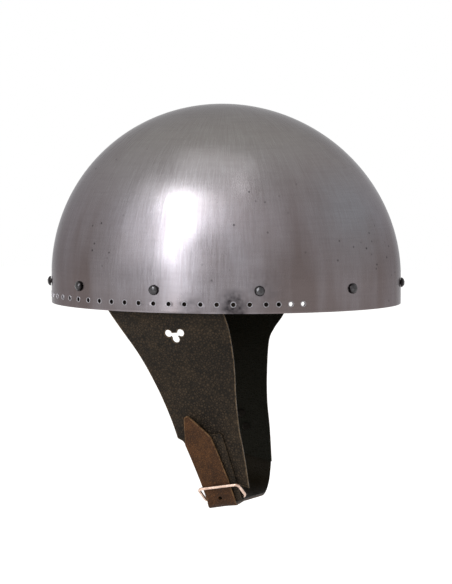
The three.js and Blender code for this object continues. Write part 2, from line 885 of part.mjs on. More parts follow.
function makeStrap() {
  const width = (fromTip) => {
    const fullness = Math.min(1, fromTip / strapTipTaper) ** strapTipRoundness;
    return THREE.MathUtils.lerp(strapTipWidth, strapWidth, fullness);
  };
  const strap = ribbon(strapRows(), width, strapThickness, strapSteps);
  const holeAcross = strapTailShares.at(-1)[0] * strapTailSidestep;
  const holePoint = fromPivot(holeAcross, -strapHoleReach, strapOut);
  const hole = drill(
    holePoint,
    tabNormal,
    strapHoleRadius,
    strapThickness + 2 * seatGap,
    smallRivetSides,
  );
  let cut = strap.subtract(hole);
  for (const { point, normal } of strapRivetSeats()) {
    cut = cut.subtract(smallRivetHole(point, normal)).subtract(headRecess(point, normal));
  }
  return piece("chin_strap", cut, russetLeather);
}

// The frame's wire starts and ends in the middle of the pivot bar, where its ends nearly touch.
function makeBuckleFrame() {
  const frontOut = strapOut + strapThickness / 2 + seatGap + buckleWireRadius;
  const towardsFront = tabDown
    .clone()
    .multiplyScalar(-Math.sqrt(buckleDepth ** 2 - frontOut ** 2))
    .addScaledVector(tabNormal, frontOut)
    .normalize();
  const at = (across, reach) =>
    fromPivot(across - buckleSidestep, 0, 0).addScaledVector(towardsFront, reach);
  const half = buckleWidth / 2;
  const inner = half - buckleCornerRadius;
  const near = buckleCornerRadius;
  const far = buckleDepth - buckleCornerRadius;
  const corner = (from, bend, to) => new THREE.QuadraticBezierCurve3(from, bend, to);
  const path = new THREE.CurvePath();
  path.add(new THREE.LineCurve3(at(seatGap, 0), at(inner, 0)));
  path.add(corner(at(inner, 0), at(half, 0), at(half, near)));
  path.add(new THREE.LineCurve3(at(half, near), at(half, far)));
  path.add(corner(at(half, far), at(half, buckleDepth), at(inner, buckleDepth)));
  path.add(new THREE.LineCurve3(at(inner, buckleDepth), at(-inner, buckleDepth)));
  path.add(corner(at(-inner, buckleDepth), at(-half, buckleDepth), at(-half, far)));
  path.add(new THREE.LineCurve3(at(-half, far), at(-half, near)));
  path.add(corner(at(-half, near), at(-half, 0), at(-inner, 0)));
  path.add(new THREE.LineCurve3(at(-inner, 0), at(0, 0)));
  return piece(
    "buckle_frame",
    roundTube(path, buckleWireRadius, buckleWireSides, buckleSteps),
    brass,
  );
}

// The tongue's eye goes round the pivot bar, and its prong lies in the tab's slot.
function makeBuckleTongue() {
  const eyeRadius = buckleWireRadius + tongueClearance + tongueWireRadius;
  const eyeTurn = radians(tongueEyeDegrees);
  const path = new THREE.CatmullRomCurve3();
  for (let step = 0; step <= tongueEyeSteps; step += 1) {
    const turn = eyeTurn * (1 - step / tongueEyeSteps);
    path.points.push(
      fromPivot(0, eyeRadius * Math.sin(turn), eyeRadius * Math.cos(turn)),
    );
  }
  for (let step = 1; step <= tongueProngSteps; step += 1) {
    path.points.push(fromPivot(0, (-tongueReach * step) / tongueProngSteps, eyeRadius));
  }
  const wire = roundTube(path, tongueWireRadius, tongueSides, tongueSteps);
  return piece("buckle_tongue", wire, brass);
}

const helmet = new THREE.Group();
const skullGroup = new THREE.Group();
skullGroup.add(makeSkull(), makeBand());
for (let number = 1; number <= petalCount; number += 1) {
  skullGroup.add(makePetal(number));
}
skullGroup.add(makeLace());
for (const place of rivetPlaces()) {
  skullGroup.add(makeRivet(place), makeWasher(place));
}

const chinGroup = new THREE.Group();
chinGroup.add(makeFlap("right"), makeFlap("left"), makeTab(), makeStrap());
chinGroup.add(...makeTabRivets(), ...makeStrapRivets());
chinGroup.add(makeBuckleFrame(), makeBuckleTongue());

helmet.add(skullGroup, chinGroup);

export default helmet;
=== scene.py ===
import bpy
import math
from mathutils import Matrix, Vector, noise


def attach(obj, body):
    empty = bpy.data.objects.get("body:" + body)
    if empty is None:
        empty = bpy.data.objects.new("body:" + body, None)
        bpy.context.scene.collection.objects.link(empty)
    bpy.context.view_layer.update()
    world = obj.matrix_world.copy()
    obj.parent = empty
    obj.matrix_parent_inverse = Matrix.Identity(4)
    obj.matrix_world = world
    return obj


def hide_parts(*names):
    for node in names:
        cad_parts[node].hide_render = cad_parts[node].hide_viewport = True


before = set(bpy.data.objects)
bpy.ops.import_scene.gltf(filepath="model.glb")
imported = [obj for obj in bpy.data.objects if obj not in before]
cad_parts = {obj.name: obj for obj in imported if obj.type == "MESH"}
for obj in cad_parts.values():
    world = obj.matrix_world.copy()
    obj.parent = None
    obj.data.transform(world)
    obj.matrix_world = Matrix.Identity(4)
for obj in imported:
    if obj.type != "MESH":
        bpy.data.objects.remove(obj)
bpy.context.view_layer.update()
print("frame loaded")


# Selecting and edit mode

def deselectAll():
    if bpy.context.object and bpy.context.object.mode != "OBJECT":
        bpy.ops.object.mode_set(mode="OBJECT")
    bpy.ops.object.select_all(action="DESELECT")


def selectOnly(piece):
    deselectAll()
    piece.select_set(True)
    bpy.context.view_layer.objects.active = piece


def editAll(piece):
    selectOnly(piece)
    bpy.ops.object.mode_set(mode="EDIT")
    bpy.ops.mesh.select_all(action="SELECT")


def leaveEdit():
    bpy.ops.object.mode_set(mode="OBJECT")


def applyModifier(piece, kind, **values):
    selectOnly(piece)
    added = piece.modifiers.new(kind.title(), kind)
    for name, value in values.items():
        setattr(added, name, value)
    bpy.ops.object.modifier_apply(modifier=added.name)


def bevelEdges(piece, width, degrees):
    applyModifier(
        piece, "BEVEL", width=width, segments=2,
        limit_method="ANGLE", angle_limit=math.radians(degrees),
    )


# Only the wanted edges or faces are selected, and edit mode stays on.
def editOnly(piece, kind, parts, wanted):
    editAll(piece)
    bpy.ops.mesh.select_mode(type=kind)
    bpy.ops.mesh.select_all(action="DESELECT")
    leaveEdit()
    for part in parts:
        part.select = wanted(part)
    bpy.ops.object.mode_set(mode="EDIT")


def paint(piece, name, valueAt):
    made = piece.data.attributes.new(name, "FLOAT", "POINT")
    for corner in piece.data.vertices:
        made.data[corner.index].value = valueAt(corner)


def normalsOut(piece):
    editAll(piece)
    bpy.ops.mesh.remove_doubles(threshold=0.000002)
    bpy.ops.mesh.normals_make_consistent(inside=False)
    leaveEdit()


def smooth(piece, degrees=40):
    selectOnly(piece)
    bpy.ops.object.shade_smooth_by_angle(angle=math.radians(degrees))


def joinAll(pieces, name):
    deselectAll()
    for each in pieces:
        each.select_set(True)
    bpy.context.view_layer.objects.active = pieces[0]
    bpy.ops.object.join()
    joined = bpy.context.object
    joined.name = name
    return joined


def copyOf(piece, name, place):
    twin = piece.copy()
    twin.data = piece.data.copy()
    twin.name = name
    bpy.context.collection.objects.link(twin)
    twin.data.transform(place)
    twin.data.update()
    return twin


def removePiece(piece):
    bpy.data.objects.remove(piece, do_unlink=True)


def smoothStep(value, low, high):
    share = min(1, max(0, (value - low) / (high - low)))
    return share * share * (3 - 2 * share)


def blendOf(low, high, share):
    return low + (high - low) * share


def stepsOf(low, high, count):
    return [low + (high - low) * i / count for i in range(count + 1)]


def arc(x, y, radius, start, end, steps, stretch=1):
    turns = stepsOf(start, end, steps)
    return [(x + radius * stretch * math.cos(t), y + radius * math.sin(t)) for t in turns]


# A piece from lines of points: a filled sheet, or a wire when the settings hold a bevel.
def curvePiece(name, lines, closed, thins=None, **settings):
    curve = bpy.data.curves.new(name, "CURVE")
    for setting, value in settings.items():
        setattr(curve, setting, value)
    for points in lines:
        line = curve.splines.new("POLY")
        line.points.add(len(points) - 1)
        for i, (corner, point) in enumerate(zip(line.points, points)):
            x, y, z = (*point, 0)[:3]
            corner.co = (x, y, z, 1)
            corner.radius = thins[i] if thins else 1
        line.use_cyclic_u = closed
    piece = bpy.data.objects.new(name, curve)
    bpy.context.collection.objects.link(piece)
    selectOnly(piece)
    bpy.ops.object.convert(target="MESH")
    return bpy.context.object


def wireThrough(name, points, radius, closed=False, thins=None):
    piece = curvePiece(
        name, [points], closed, thins, dimensions="3D", bevel_depth=radius,
        bevel_resolution=4, use_fill_caps=True,
    )
    normalsOut(piece)
    smooth(piece, 50)
    return piece


# A stack of rings from (centre x, half length, half width, z), as extruded and scaled by hand.
def ringStack(name, sides, rings, fillStart=False):
    deselectAll()
    startFill = "NGON" if fillStart else "NOTHING"
    bpy.ops.mesh.primitive_circle_add(vertices=sides, radius=1, fill_type=startFill)
    piece = bpy.context.object
    piece.name = name
    editAll(piece)
    centre, length, width, level = rings[0]
    bpy.ops.transform.resize(value=(length, width, 1), center_override=(0, 0, 0))
    bpy.ops.transform.translate(value=(centre, 0, level))
    for before, after in zip(rings, rings[1:]):
        move = (after[0] - before[0], 0, after[3] - before[3])
        bpy.ops.mesh.extrude_region_move(TRANSFORM_OT_translate={"value": move})
        grow = (after[1] / before[1], after[2] / before[2], 1)
        bpy.ops.transform.resize(value=grow, center_override=(after[0], 0, after[3]))
    bpy.ops.mesh.merge(type="CENTER")
    leaveEdit()
    normalsOut(piece)
    return piece


def turned(name, profile, sides=32):
    rings = [(0, radius, radius, level) for radius, level in profile]
    return ringStack(name, sides, rings, fillStart=True)


def aimed(point, direction, spin=0):
    turn = Vector((0, 0, 1)).rotation_difference(direction).to_matrix().to_4x4()
    return Matrix.Translation(point) @ turn @ Matrix.Rotation(spin, 4, "Z")


# Rules of the skull's shape, in metres: +X is the wearer's front, +Y the wearer's left, and z = 0
# is the rim. The rivets stand at these degrees from the wearer's right.

skull = {
    "halfLength": 0.1173,
    "halfWidth": 0.098,
    "height": 0.1322,
    "wallHeight": 0.0175,
    "plate": 0.0016,
    "setback": 0.0023,
    "sides": 256,
    "wallRings": 14,
    "domeRings": 46,
    "edgeBevel": 0.00035,
    "crownShare": 0.35,
    "crownGap": 0.000008,
}
curtain = {
    "radius": 0.0014,
    "height": 0.0057,
    "pitch": 0.01025,
    "perSide": 21,
    "endPitch": 0.008,
    "endHoles": 3,
    "lip": 0.0003,
    "lipSpread": 0.8,
    "lipSunk": 0.1,
    "drillLength": 0.008,
}
rivet = {
    "height": 0.0142,
    "shank": 0.0015,
    "head": 0.0033,
    "rise": 0.0024,
    "tail": 0.0026,
    "tailThickness": 0.0012,
    "clearance": 0.0003,
    "seat": 0.0003,
    "degrees": [51, 18, -15, -46, -78],
    "flapRivet": 3,
    "drillDepth": 0.002,
    "drillLength": 0.012,
    "dent": 0.00022,
    "dentScale": 620,
    # Heights, as shares of the head's rise, over which the painted shade at the head's foot fades
    # out.
    "footShadeFade": (0.35, 0.8),
}


def backwardLean(height):
    return skull["setback"] * (height / skull["height"]) ** 2


def skullPoint(angle, height, depth):
    rise = skull["height"] - skull["wallHeight"] - depth
    above = max(0, height - skull["wallHeight"]) / rise
    narrowing = math.sqrt(max(0, 1 - above * above))
    x = (skull["halfLength"] - depth) * narrowing * math.sin(angle) - backwardLean(height)
    y = -(skull["halfWidth"] - depth) * narrowing * math.cos(angle)
    return Vector((x, y, height))


def wallNormal(angle):
    across = math.sin(angle) / skull["halfLength"]
    return Vector((across, -math.cos(angle) / skull["halfWidth"], 0)).normalized()


def curtainAngles():
    steps = 4000
    places = [(hole + 0.5) * curtain["pitch"] for hole in range(curtain["perSide"])]
    places += [places[-1] + (i + 1) * curtain["endPitch"] for i in range(curtain["endHoles"])]
    angles, walked, before = [], 0, Vector((-skull["halfLength"], 0))
    for step in range(1, steps):
        turn = math.pi + math.pi * step / steps
        here = Vector((skull["halfLength"] * math.cos(turn), skull["halfWidth"] * math.sin(turn)))
        walked += (here - before).length
        before = here
        if places and walked >= places[0]:
            places.pop(0)
            angle = math.atan2(here.x / skull["halfLength"], -here.y / skull["halfWidth"])
            angles += [angle, math.pi - angle]
    return angles


def rivetPlaces():
    places = [("front", math.pi / 2, False)]
    for number, degrees in enumerate(rivet["degrees"], 1):
        angle = math.radians(degrees)
        through = number == rivet["flapRivet"]
        places.append(("right_%d" % number, angle, through))
        places.append(("left_%d" % number, math.pi - angle, through))
    return places


def drillFor(point, direction, radius, length):
    deselectAll()
    bpy.ops.mesh.primitive_cylinder_add(vertices=24, radius=radius, depth=length)
    cutter = bpy.context.object
    cutter.data.transform(aimed(point, direction))
    return cutter


def rivetDrills():
    drills = []
    for _, angle, _ in rivetPlaces():
        point = skullPoint(angle, rivet["height"], rivet["drillDepth"])
        radius = rivet["shank"] + rivet["clearance"]
        drills.append(drillFor(point, wallNormal(angle), radius, rivet["drillLength"]))
    return drills


def drillOut(piece, drills):
    cutter = joinAll(drills, "cutter")
    applyModifier(piece, "BOOLEAN", operation="DIFFERENCE", object=cutter, solver="EXACT")
    removePiece(cutter)


# Skull: rings from the rim to the crown, a wall, holes and a worn edge

def skullRings():
    rings = []
    heights = stepsOf(0, skull["wallHeight"], skull["wallRings"])[:-1]
    rise = skull["height"] - skull["wallHeight"]
    for step in range(skull["domeRings"]):
        turn = math.pi / 2 * step / skull["domeRings"]
        heights.append(skull["wallHeight"] + rise * math.sin(turn))
    for height in heights:
        front = skullPoint(math.pi / 2, height, 0).x
        back = skullPoint(-math.pi / 2, height, 0).x
        side = -skullPoint(0, height, 0).y
        rings.append(((front + back) / 2, (front - back) / 2, side, height))
    middle, length, width = rings[-1][:3]
    share = skull["crownShare"]
    rings.append((middle, length * share, width * share, skull["height"] - skull["crownGap"]))
    return rings


# Each punched hole has a low lip round it, which its finish paints lighter as a highlight.
def makeHoleRings():
    deselectAll()
    bpy.ops.mesh.primitive_torus_add(
        major_segments=20, minor_segments=6,
        major_radius=curtain["radius"] + curtain["lip"] * curtain["lipSpread"],
        minor_radius=curtain["lip"],
    )
    model = bpy.context.object
    # The lip is marked for a painted highlight.
    paint(model, "lipHighlight", lambda corner: 1)
    rings = []
    for count, angle in enumerate(curtainAngles()):
        point = skullPoint(angle, curtain["height"], curtain["lip"] * curtain["lipSunk"])
        rings.append(copyOf(model, "hole_lip", aimed(point, wallNormal(angle), count * 0.7)))
    removePiece(model)
    return rings


def makeSkull():
    shell = ringStack("skull_plate", skull["sides"], skullRings())
    applyModifier(shell, "SOLIDIFY", thickness=skull["plate"], offset=-1, use_even_offset=True)
    drills = []
    for angle in curtainAngles():
        point = skullPoint(angle, curtain["height"], skull["plate"] / 2)
        normal = wallNormal(angle)
        drills.append(drillFor(point, normal, curtain["radius"], curtain["drillLength"]))
    drillOut(shell, drills + rivetDrills())
    bevelEdges(shell, skull["edgeBevel"], 50)
    shell = joinAll([shell, *makeHoleRings()], "skull_plate")
    smooth(shell, 35)
    return shell


skullPlate = makeSkull()
print("skull made")


# Rivets and washers. The washers lie under the liner band, or under the flaps where these hang.

washer = {
    "radius": 0.004,
    "thickness": 0.001,
    "bevel": 0.0002,
    "underBand": 0.0041,
    "underFlap": 0.00781254,
}


def domedRivet(name, tailStart):
    tail = rivet["tail"]
    profile = [
        (tail * 0.55, tailStart - rivet["tailThickness"]),
        (tail * 0.85, tailStart - rivet["tailThickness"] * 0.8),
        (tail, tailStart - rivet["tailThickness"] * 0.4),
        (tail * 0.97, tailStart),
        (rivet["shank"], tailStart + 0.00005),
        (rivet["shank"], rivet["seat"]),
        (rivet["head"] * 0.985, rivet["seat"]),
    ]
    steps = 9
    for step in range(steps):
        turn = math.pi / 2 * (step + 0.35) / steps
        radius = rivet["head"] * math.cos(turn)
        profile.append((radius, rivet["seat"] + rivet["rise"] * math.sin(turn)))
    made = turned(name, profile, 28)
    # Hammer marks: the head is a little out of true.
    for corner in made.data.vertices:
        if corner.co.z > rivet["seat"]:
            offset = noise.noise(corner.co * rivet["dentScale"]) * rivet["dent"]
            corner.co += corner.co.normalized() * offset

    # Painted shade: the head is darkened at its foot, where it meets the plate, and lighter above.
    def footShadeAt(corner):
        above = (corner.co.z - rivet["seat"]) / rivet["rise"]
        return 1 - smoothStep(above, *rivet["footShadeFade"])
    paint(made, "creviceShade", footShadeAt)
    smooth(made, 50)
    return made


def flatWasher(name):
    deselectAll()
    bpy.ops.mesh.primitive_cylinder_add(
        vertices=32, radius=washer["radius"], depth=washer["thickness"],
    )
    made = bpy.context.object
    made.name = name
    made.data.transform(Matrix.Translation((0, 0, washer["thickness"] / 2)))
    editOnly(made, "FACE", made.data.polygons, lambda face: abs(face.normal.z) > 0.9)
    bpy.ops.mesh.inset(
        thickness=washer["radius"] - rivet["shank"] - rivet["clearance"], use_individual=True,
    )
    bpy.ops.mesh.bridge_edge_loops()
    bpy.ops.mesh.select_mode(type="VERT")
    leaveEdit()
    normalsOut(made)
    bevelEdges(made, washer["bevel"], 50)
    smooth(made, 40)
    return made


def makeRivets():
    made, models = [], {}
    depths = {False: washer["underBand"], True: washer["underFlap"]}
    for through, depth in depths.items():
        tailStart = -(depth + washer["thickness"] + rivet["seat"])
        models[through] = domedRivet("rivet_model", tailStart)
    ring = flatWasher("washer_model")
    for count, (label, angle, through) in enumerate(rivetPlaces()):
        seat = skullPoint(angle, rivet["height"], 0)
        normal = wallNormal(angle)
        place = aimed(seat, normal, count * 1.7)
        made.append((copyOf(models[through], "round_rivet_" + label, place), "rivet_" + label))
        inner = seat - normal * (depths[through] + washer["thickness"])
        ringPlace = aimed(inner, normal, count * 0.9)
        made.append((copyOf(ring, "inner_washer_" + label, ringPlace), "washer_" + label))
    for model in [*models.values(), ring]:
        removePiece(model)
    return made


rivetPieces = makeRivets()
print("rivets made")


# Leather: each piece is cut flat from its outline, given its thickness and edges, and then bent

# Inside the border, only the lines of the square grid stay, so that the leather bends evenly.
def clearSlants(piece):
    mesh = piece.data
    inside = {}
    for face in mesh.polygons:
        for key in face.edge_keys:
            inside.setdefault(key, []).append(face.material_index)

    def slantedInside(edge):
        across = mesh.vertices[edge.vertices[0]].co - mesh.vertices[edge.vertices[1]].co
        slanted = min(abs(across.x), abs(across.y)) > 0.0000005
        return slanted and inside.get(edge.key) == [1, 1]
    editOnly(piece, "EDGE", mesh.edges, slantedInside)
    bpy.ops.mesh.dissolve_edges(use_verts=True)
    bpy.ops.mesh.select_mode(type="VERT")
    leaveEdit()


def cutFlat(name, outline, holes, thickness, cutsX, cutsY, border=0.001, bevel=0.0004):
    piece = curvePiece(name, [outline, *holes], True, dimensions="2D", fill_mode="BOTH")
    editAll(piece)
    bpy.ops.mesh.remove_doubles(threshold=0.000005)
    bpy.ops.mesh.normals_make_consistent(inside=False)
    bpy.ops.mesh.region_to_loop()
    leaveEdit()
    rim = piece.vertex_groups.new(name="rimCorners")
    rim.add([corner.index for corner in piece.data.vertices if corner.select], 1, "REPLACE")
    editAll(piece)
    bpy.ops.mesh.inset(thickness=border, use_boundary=True)
    leaveEdit()
    inner = [corner.index for corner in piece.data.vertices if corner.select]
    rim.remove(inner)
    for face in piece.data.polygons:
        face.material_index = 1 if face.select else 0
    for spots, normal in [(cutsX, (1, 0, 0)), (cutsY, (0, 1, 0))]:
        for spot in spots:
            editAll(piece)
            at = (spot, 0, 0) if normal[0] else (0, spot, 0)
            bpy.ops.mesh.bisect(plane_co=at, plane_no=normal)
            leaveEdit()
    clearSlants(piece)
    applyModifier(piece, "SOLIDIFY", thickness=thickness, offset=0)
    bevelEdges(piece, bevel, 60)
    return piece


def bend(piece, place, wearAt=None):
    def wearOf(corner):
        onRim = sum(entry.weight for entry in corner.groups)
        return onRim * (wearAt(corner.co) if wearAt else 1)
    paint(piece, "cutEdge", wearOf)
    # Painted shade: the inner faces are marked, so that their finish darkens them as if in shade.
    paint(piece, "innerSideShade", lambda corner: 1 if corner.co.z < -0.0001 else 0)
    for corner in piece.data.vertices:
        corner.co = place(*corner.co)
    piece.vertex_groups.clear()
    normalsOut(piece)
    smooth(piece, 45)
    return piece


def circle(x, y, radius, sides=20, stretch=1):
    return arc(x, y, radius, 0, 2 * math.pi, sides, stretch)[:-1]


def evenly(low, high, pitch):
    return stepsOf(low, high, max(1, round((high - low) / pitch)))[1:-1]


def roundedBox(left, right, low, high, radius, steps=5):
    left, right, low, high = left + radius, right - radius, low + radius, high - radius
    points = []
    for i, (x, y) in enumerate([(right, high), (left, high), (left, low), (right, low)]):
        start = math.pi / 2 * i
        points += arc(x, y, radius, start, start + math.pi / 2, steps)
    return points


# A line through all the points, with an even curve between each two.
def throughPoints(points, steps=8):
    line = []
    for i in range(len(points) - 1):
        p = [Vector(points[max(0, min(len(points) - 1, i + k))]) for k in (-1, 0, 1, 2)]
        for step in range(steps):
            t = step / steps
            start, end = (p[2] - p[0]) / 2, (p[3] - p[1]) / 2
            shape = (2 * p[1] - 2 * p[2] + start + end) * t ** 3
            shape += (-3 * p[1] + 3 * p[2] - 2 * start - end) * t ** 2
            line.append(tuple(shape + start * t + p[1]))
    line.append(tuple(points[-1]))
    return line


# Liner band: the strip is bent round the skull, and its ends meet at the back

band = {
    "depth": 0.002,
    "thickness": 0.0018,
    "low": 0.0039,
    "frontLow": 0.0096,
    "frontDegrees": (64, 71),
    "high": 0.042,
    "endGap": 0.0006,
    "cornerCut": 0.001,
    "outlinePitch": 0.0015,
    "cutPitch": (0.0045, 0.0055),
    "cutsAbove": 0.002,
}


def bandPlace(x, y, z):
    angle = math.pi / 2 + x / skull["halfWidth"]
    depth = band["depth"] + band["thickness"] / 2 - z
    return skullPoint(angle, y, depth)


# Round the back and sides the lower edge is behind the curtain holes, and in front it is higher.
def bandLowAt(x):
    start, end = [math.radians(degrees) for degrees in band["frontDegrees"]]
    share = smoothStep(abs(x) / skull["halfWidth"], start, end)
    return blendOf(band["frontLow"], band["low"], share)


def makeBand():
    half = math.pi * skull["halfWidth"] - band["endGap"] / 2
    end = half - band["cornerCut"]
    under = band["high"] - band["cornerCut"]
    outline = [(half, under), (end, band["high"]), (-end, band["high"]), (-half, under)]
    for spot in [-end, *evenly(-half, half, band["outlinePitch"]), end]:
        outline.append((spot, bandLowAt(spot)))
    pitchX, pitchY = band["cutPitch"]
    cutsX = evenly(-half, half, pitchX)
    cutsY = evenly(band["frontLow"] + band["cutsAbove"], band["high"], pitchY)
    strip = cutFlat("liner_strip", outline, [], band["thickness"], cutsX, cutsY)
    bend(strip, bandPlace)
    drillOut(strip, rivetDrills())
    smooth(strip, 45)
    return strip


linerStrip = makeBand()
print("liner band made")


# Liner petals, their stitches and the crown lace

petal = {
    "count": 8,
    "depth": 0.0044,
    "thickness": 0.0015,
    "overlap": 0.01,
    "rise": 0.066,
    "sideGap": 0.003,
    "tipShare": 0.15,
    "hole": 0.00325,
    "flatWidth": 0.07,
    "flatLength": 0.104,
    "corner": 0.003,
    "cutPitch": (0.007, 0.006),
}
stitch = {
    "perPetal": 15,
    "levels": (0.0346, 0.0392),
    "inset": 0.1,
    "radius": 0.00045,
    "halfLength": 0.0016,
    "sunk": 0.00005,
}
lace = {
    "share": 0.213,
    "radius": 0.00125,
    "wave": 0.0055,
    "openTurn": 0.07,
    "tail": 0.0085,
    "tailRise": 0.003,
    "tailSag": 0.0012,
    "knot": 0.0009,
}

footLength = petal["overlap"] / (petal["overlap"] + petal["rise"] * math.pi / 2)


def petalPoint(angle, along, depth):
    if along < footLength:
        height = band["high"] - petal["overlap"] * (1 - along / footLength)
        return skullPoint(angle, height, petal["depth"] + depth)
    turn = math.acos(petal["tipShare"]) * (along - footLength) / (1 - footLength)
    foot = skullPoint(angle, band["high"], petal["depth"] + depth)
    lean = backwardLean(band["high"])
    x = (foot.x + lean) * math.cos(turn) - lean
    up = band["high"] + (petal["rise"] - depth) * math.sin(turn)
    return Vector((x, foot.y * math.cos(turn), up))


def lacePoint(angle, wave):
    foot = skullPoint(angle, band["high"], petal["depth"] + petal["thickness"] / 2)
    lean = backwardLean(band["high"])
    level = (petal["rise"] - petal["thickness"] / 2) * math.sqrt(1 - lace["share"] ** 2)
    x = (foot.x + lean) * lace["share"] - lean
    return Vector((x, foot.y * lace["share"], band["high"] + level + wave))


def petalPlace(middle):
    def place(x, y, z):
        along = min(1, max(0, y / petal["flatLength"]))
        onMiddle = petalPoint(middle, along, 0)
        radius = math.hypot(onMiddle.x, onMiddle.y)
        spread = 2 * math.pi / petal["count"] - petal["sideGap"] / radius
        depth = petal["thickness"] / 2 - z
        return petalPoint(middle + x / petal["flatWidth"] * spread, along, depth)
    return place


def makePetals():
    made = []
    half, length = petal["flatWidth"] / 2, petal["flatLength"]
    laceTurn = math.acos(lace["share"]) / math.acos(petal["tipShare"])
    laceAt = (footLength + (1 - footLength) * laceTurn) * length
    outline = roundedBox(-half, half, 0, length, petal["corner"])
    pitchX, pitchY = petal["cutPitch"]
    # The hole is wide when flat, because the petal narrows towards the crown.
    hole = circle(0, laceAt, petal["hole"], 20, 1.1 / lace["share"])
    for number in range(1, petal["count"] + 1):
        middle = (number - 0.5) * 2 * math.pi / petal["count"]
        sheet = cutFlat(
            "petal_%d" % number, outline, [hole], petal["thickness"],
            evenly(-half, half, pitchX), evenly(0, length, pitchY), bevel=0.0003,
        )
        made.append(bend(sheet, petalPlace(middle)))
    return made


def stitchModel():
    steps = 5
    profile = []
    for step in range(steps * 2 + 1):
        share = -1 + step / steps
        radius = stitch["radius"] * math.sqrt(max(0.03, 1 - share ** 6))
        profile.append((radius, share * stitch["halfLength"]))
    return turned("stitch_model", profile, 8)


def makeStitches():
    model = stitchModel()
    stitches = []
    depth = petal["depth"] + petal["thickness"] - stitch["sunk"]
    spread = 2 * math.pi / petal["count"] - stitch["inset"]
    for number in range(petal["count"]):
        middle = (number + 0.5) * 2 * math.pi / petal["count"]
        for i in range(stitch["perPetal"]):
            angle = middle + spread * ((i + 0.5) / stitch["perPetal"] - 0.5)
            for level in stitch["levels"]:
                point = skullPoint(angle, level, depth)
                ahead = skullPoint(angle + 0.01, level, depth) - point
                stitches.append(copyOf(model, "stitch", aimed(point, ahead.normalized())))
    removePiece(model)
    thread = joinAll(stitches, "petal_stitches")
    smooth(thread, 60)
    return thread


# The lace goes up and down through the petals, and ends in a knot with two tails at the side.
def makeLace():
    points = []
    for angle in stepsOf(lace["openTurn"], 2 * math.pi - lace["openTurn"], 240):
        points.append(lacePoint(angle, lace["wave"] * math.cos(petal["count"] / 2 * angle)))
    ring = wireThrough("lace_ring", points, lace["radius"])
    knotAt = lacePoint(0, lace["wave"])
    loops = []
    for i in range(90):
        t = 2 * math.pi * i / 90
        x = math.sin(t) + 2 * math.sin(2 * t)
        y = math.cos(t) - 2 * math.cos(2 * t)
        loops.append(knotAt + Vector((x, y, -1.4 * math.sin(3 * t))) * lace["knot"])
    knot = wireThrough("lace_knot", loops, lace["radius"] * 0.8, closed=True)
    parts = [ring, knot]
    for side in (-1, 1):
        tail = []
        for share in stepsOf(0, 1, 13):
            reach = lace["tail"] * share
            sag = lace["tailSag"] * math.sin(math.pi * share)
            rise = lace["tailRise"] * share + sag
            tail.append(knotAt + Vector((side * reach, reach * 0.5, rise)))
        parts.append(wireThrough("lace_tail", tail, lace["radius"] * 0.92))
    return joinAll(parts, "gathering_lace")


petalPieces = makePetals()
stitchPiece = makeStitches()
lacePiece = makeLace()
print("petals, stitches and lace made")


# Cheek flaps: the shares are of the flap's reach and drop

flap = {
    "depth": 0.00465,
    "thickness": 0.0024,
    "drop": 0.1164,
    "reach": 0.064,
    "topEdge": 0.0025,
    "ear": 0.0085,
    "earFoot": 0.013,
    "foldHalf": 0.006,
    "flatFrom": 0.045,
    "flatHalfWidth": 0.088,
    "yaw": 0.194,
    "lean": 0.32,
    "holeDepth": 0.0035,
    "cutsX": (-0.064, 0.033, 0.004),
    "cutsY": (-0.117, 0.023, 0.004),
}
earHole = {
    "radius": 0.0024,
    "spread": 0.0046,
    "forward": -0.019,
    "drop": 0.0152,
    "lobes": [(0.85, 0.41), (-0.9, 0.27), (0.13, -0.5)],
}
flapRearTopShares = [(-0.95, 0.017), (-1, 0)]
flapRearShares = {
    "right": [
        (-0.734, -0.215), (-0.569, -0.395), (-0.475, -0.515), (-0.397, -0.636), (-0.35, -0.728),
    ],
    "left": [
        (-0.58, -0.2), (-0.52, -0.36), (-0.465, -0.515), (-0.397, -0.636), (-0.35, -0.728),
    ],
}
flapLowCorners = [(-0.297, -0.743), (-0.06, -0.925)]
flapFrontCorner = (0.378, -1)
flapFrontShares = [(0.341, -0.802), (0.303, -0.653), (0.286, -0.487)]
flapFrontTopShares = {
    "right": [(0.284, -0.28), (0.25, -0.092), (0.197, 0.015)],
    "left": [(0.292, -0.295), (0.345, -0.216), (0.43, -0.146), (0.49, -0.07), (0.5, -0.03)],
}
sideSign = {"right": -1, "left": 1}
flapAcross = flap["thickness"] * math.sqrt(1 + flap["yaw"] ** 2 + flap["lean"] ** 2)


def flapFaceOut(forward, height):
    length = skull["halfLength"] - flap["depth"]
    wall = (skull["halfWidth"] - flap["depth"]) * math.sqrt(max(0, 1 - (forward / length) ** 2))
    flat = flap["flatHalfWidth"] + flap["yaw"] * forward
    lower = smoothStep(-height, 0, flap["flatFrom"])
    folding = min(2 * flap["foldHalf"], max(0, flap["foldHalf"] - height))
    lean = folding ** 2 / (4 * flap["foldHalf"]) + max(0, -flap["foldHalf"] - height)
    return blendOf(wall, flat, lower) - flap["lean"] * lean


def flapRivetPoint(side):
    angle = math.radians(rivet["degrees"][rivet["flapRivet"] - 1])
    if side == "left":
        angle = math.pi - angle
    return skullPoint(angle, rivet["height"], flap["depth"])


def flapOutline(side):
    def place(share):
        return (share[0] * flap["reach"], share[1] * flap["drop"])
    pin = flapRivetPoint(side)
    front = [flapFrontCorner, *flapFrontShares, *flapFrontTopShares[side]]
    points = throughPoints([place(share) for share in front], 10)
    points.append((pin.x + flap["earFoot"], flap["topEdge"]))
    points += arc(pin.x, pin.z, flap["ear"], 0, math.pi, 16)
    points.append((pin.x - flap["earFoot"], flap["topEdge"]))
    points.append(place(flapRearTopShares[0]))
    rear = [flapRearTopShares[1], *flapRearShares[side]]
    points += throughPoints([place(share) for share in rear], 10)
    points += [place(share) for share in flapLowCorners]
    return points


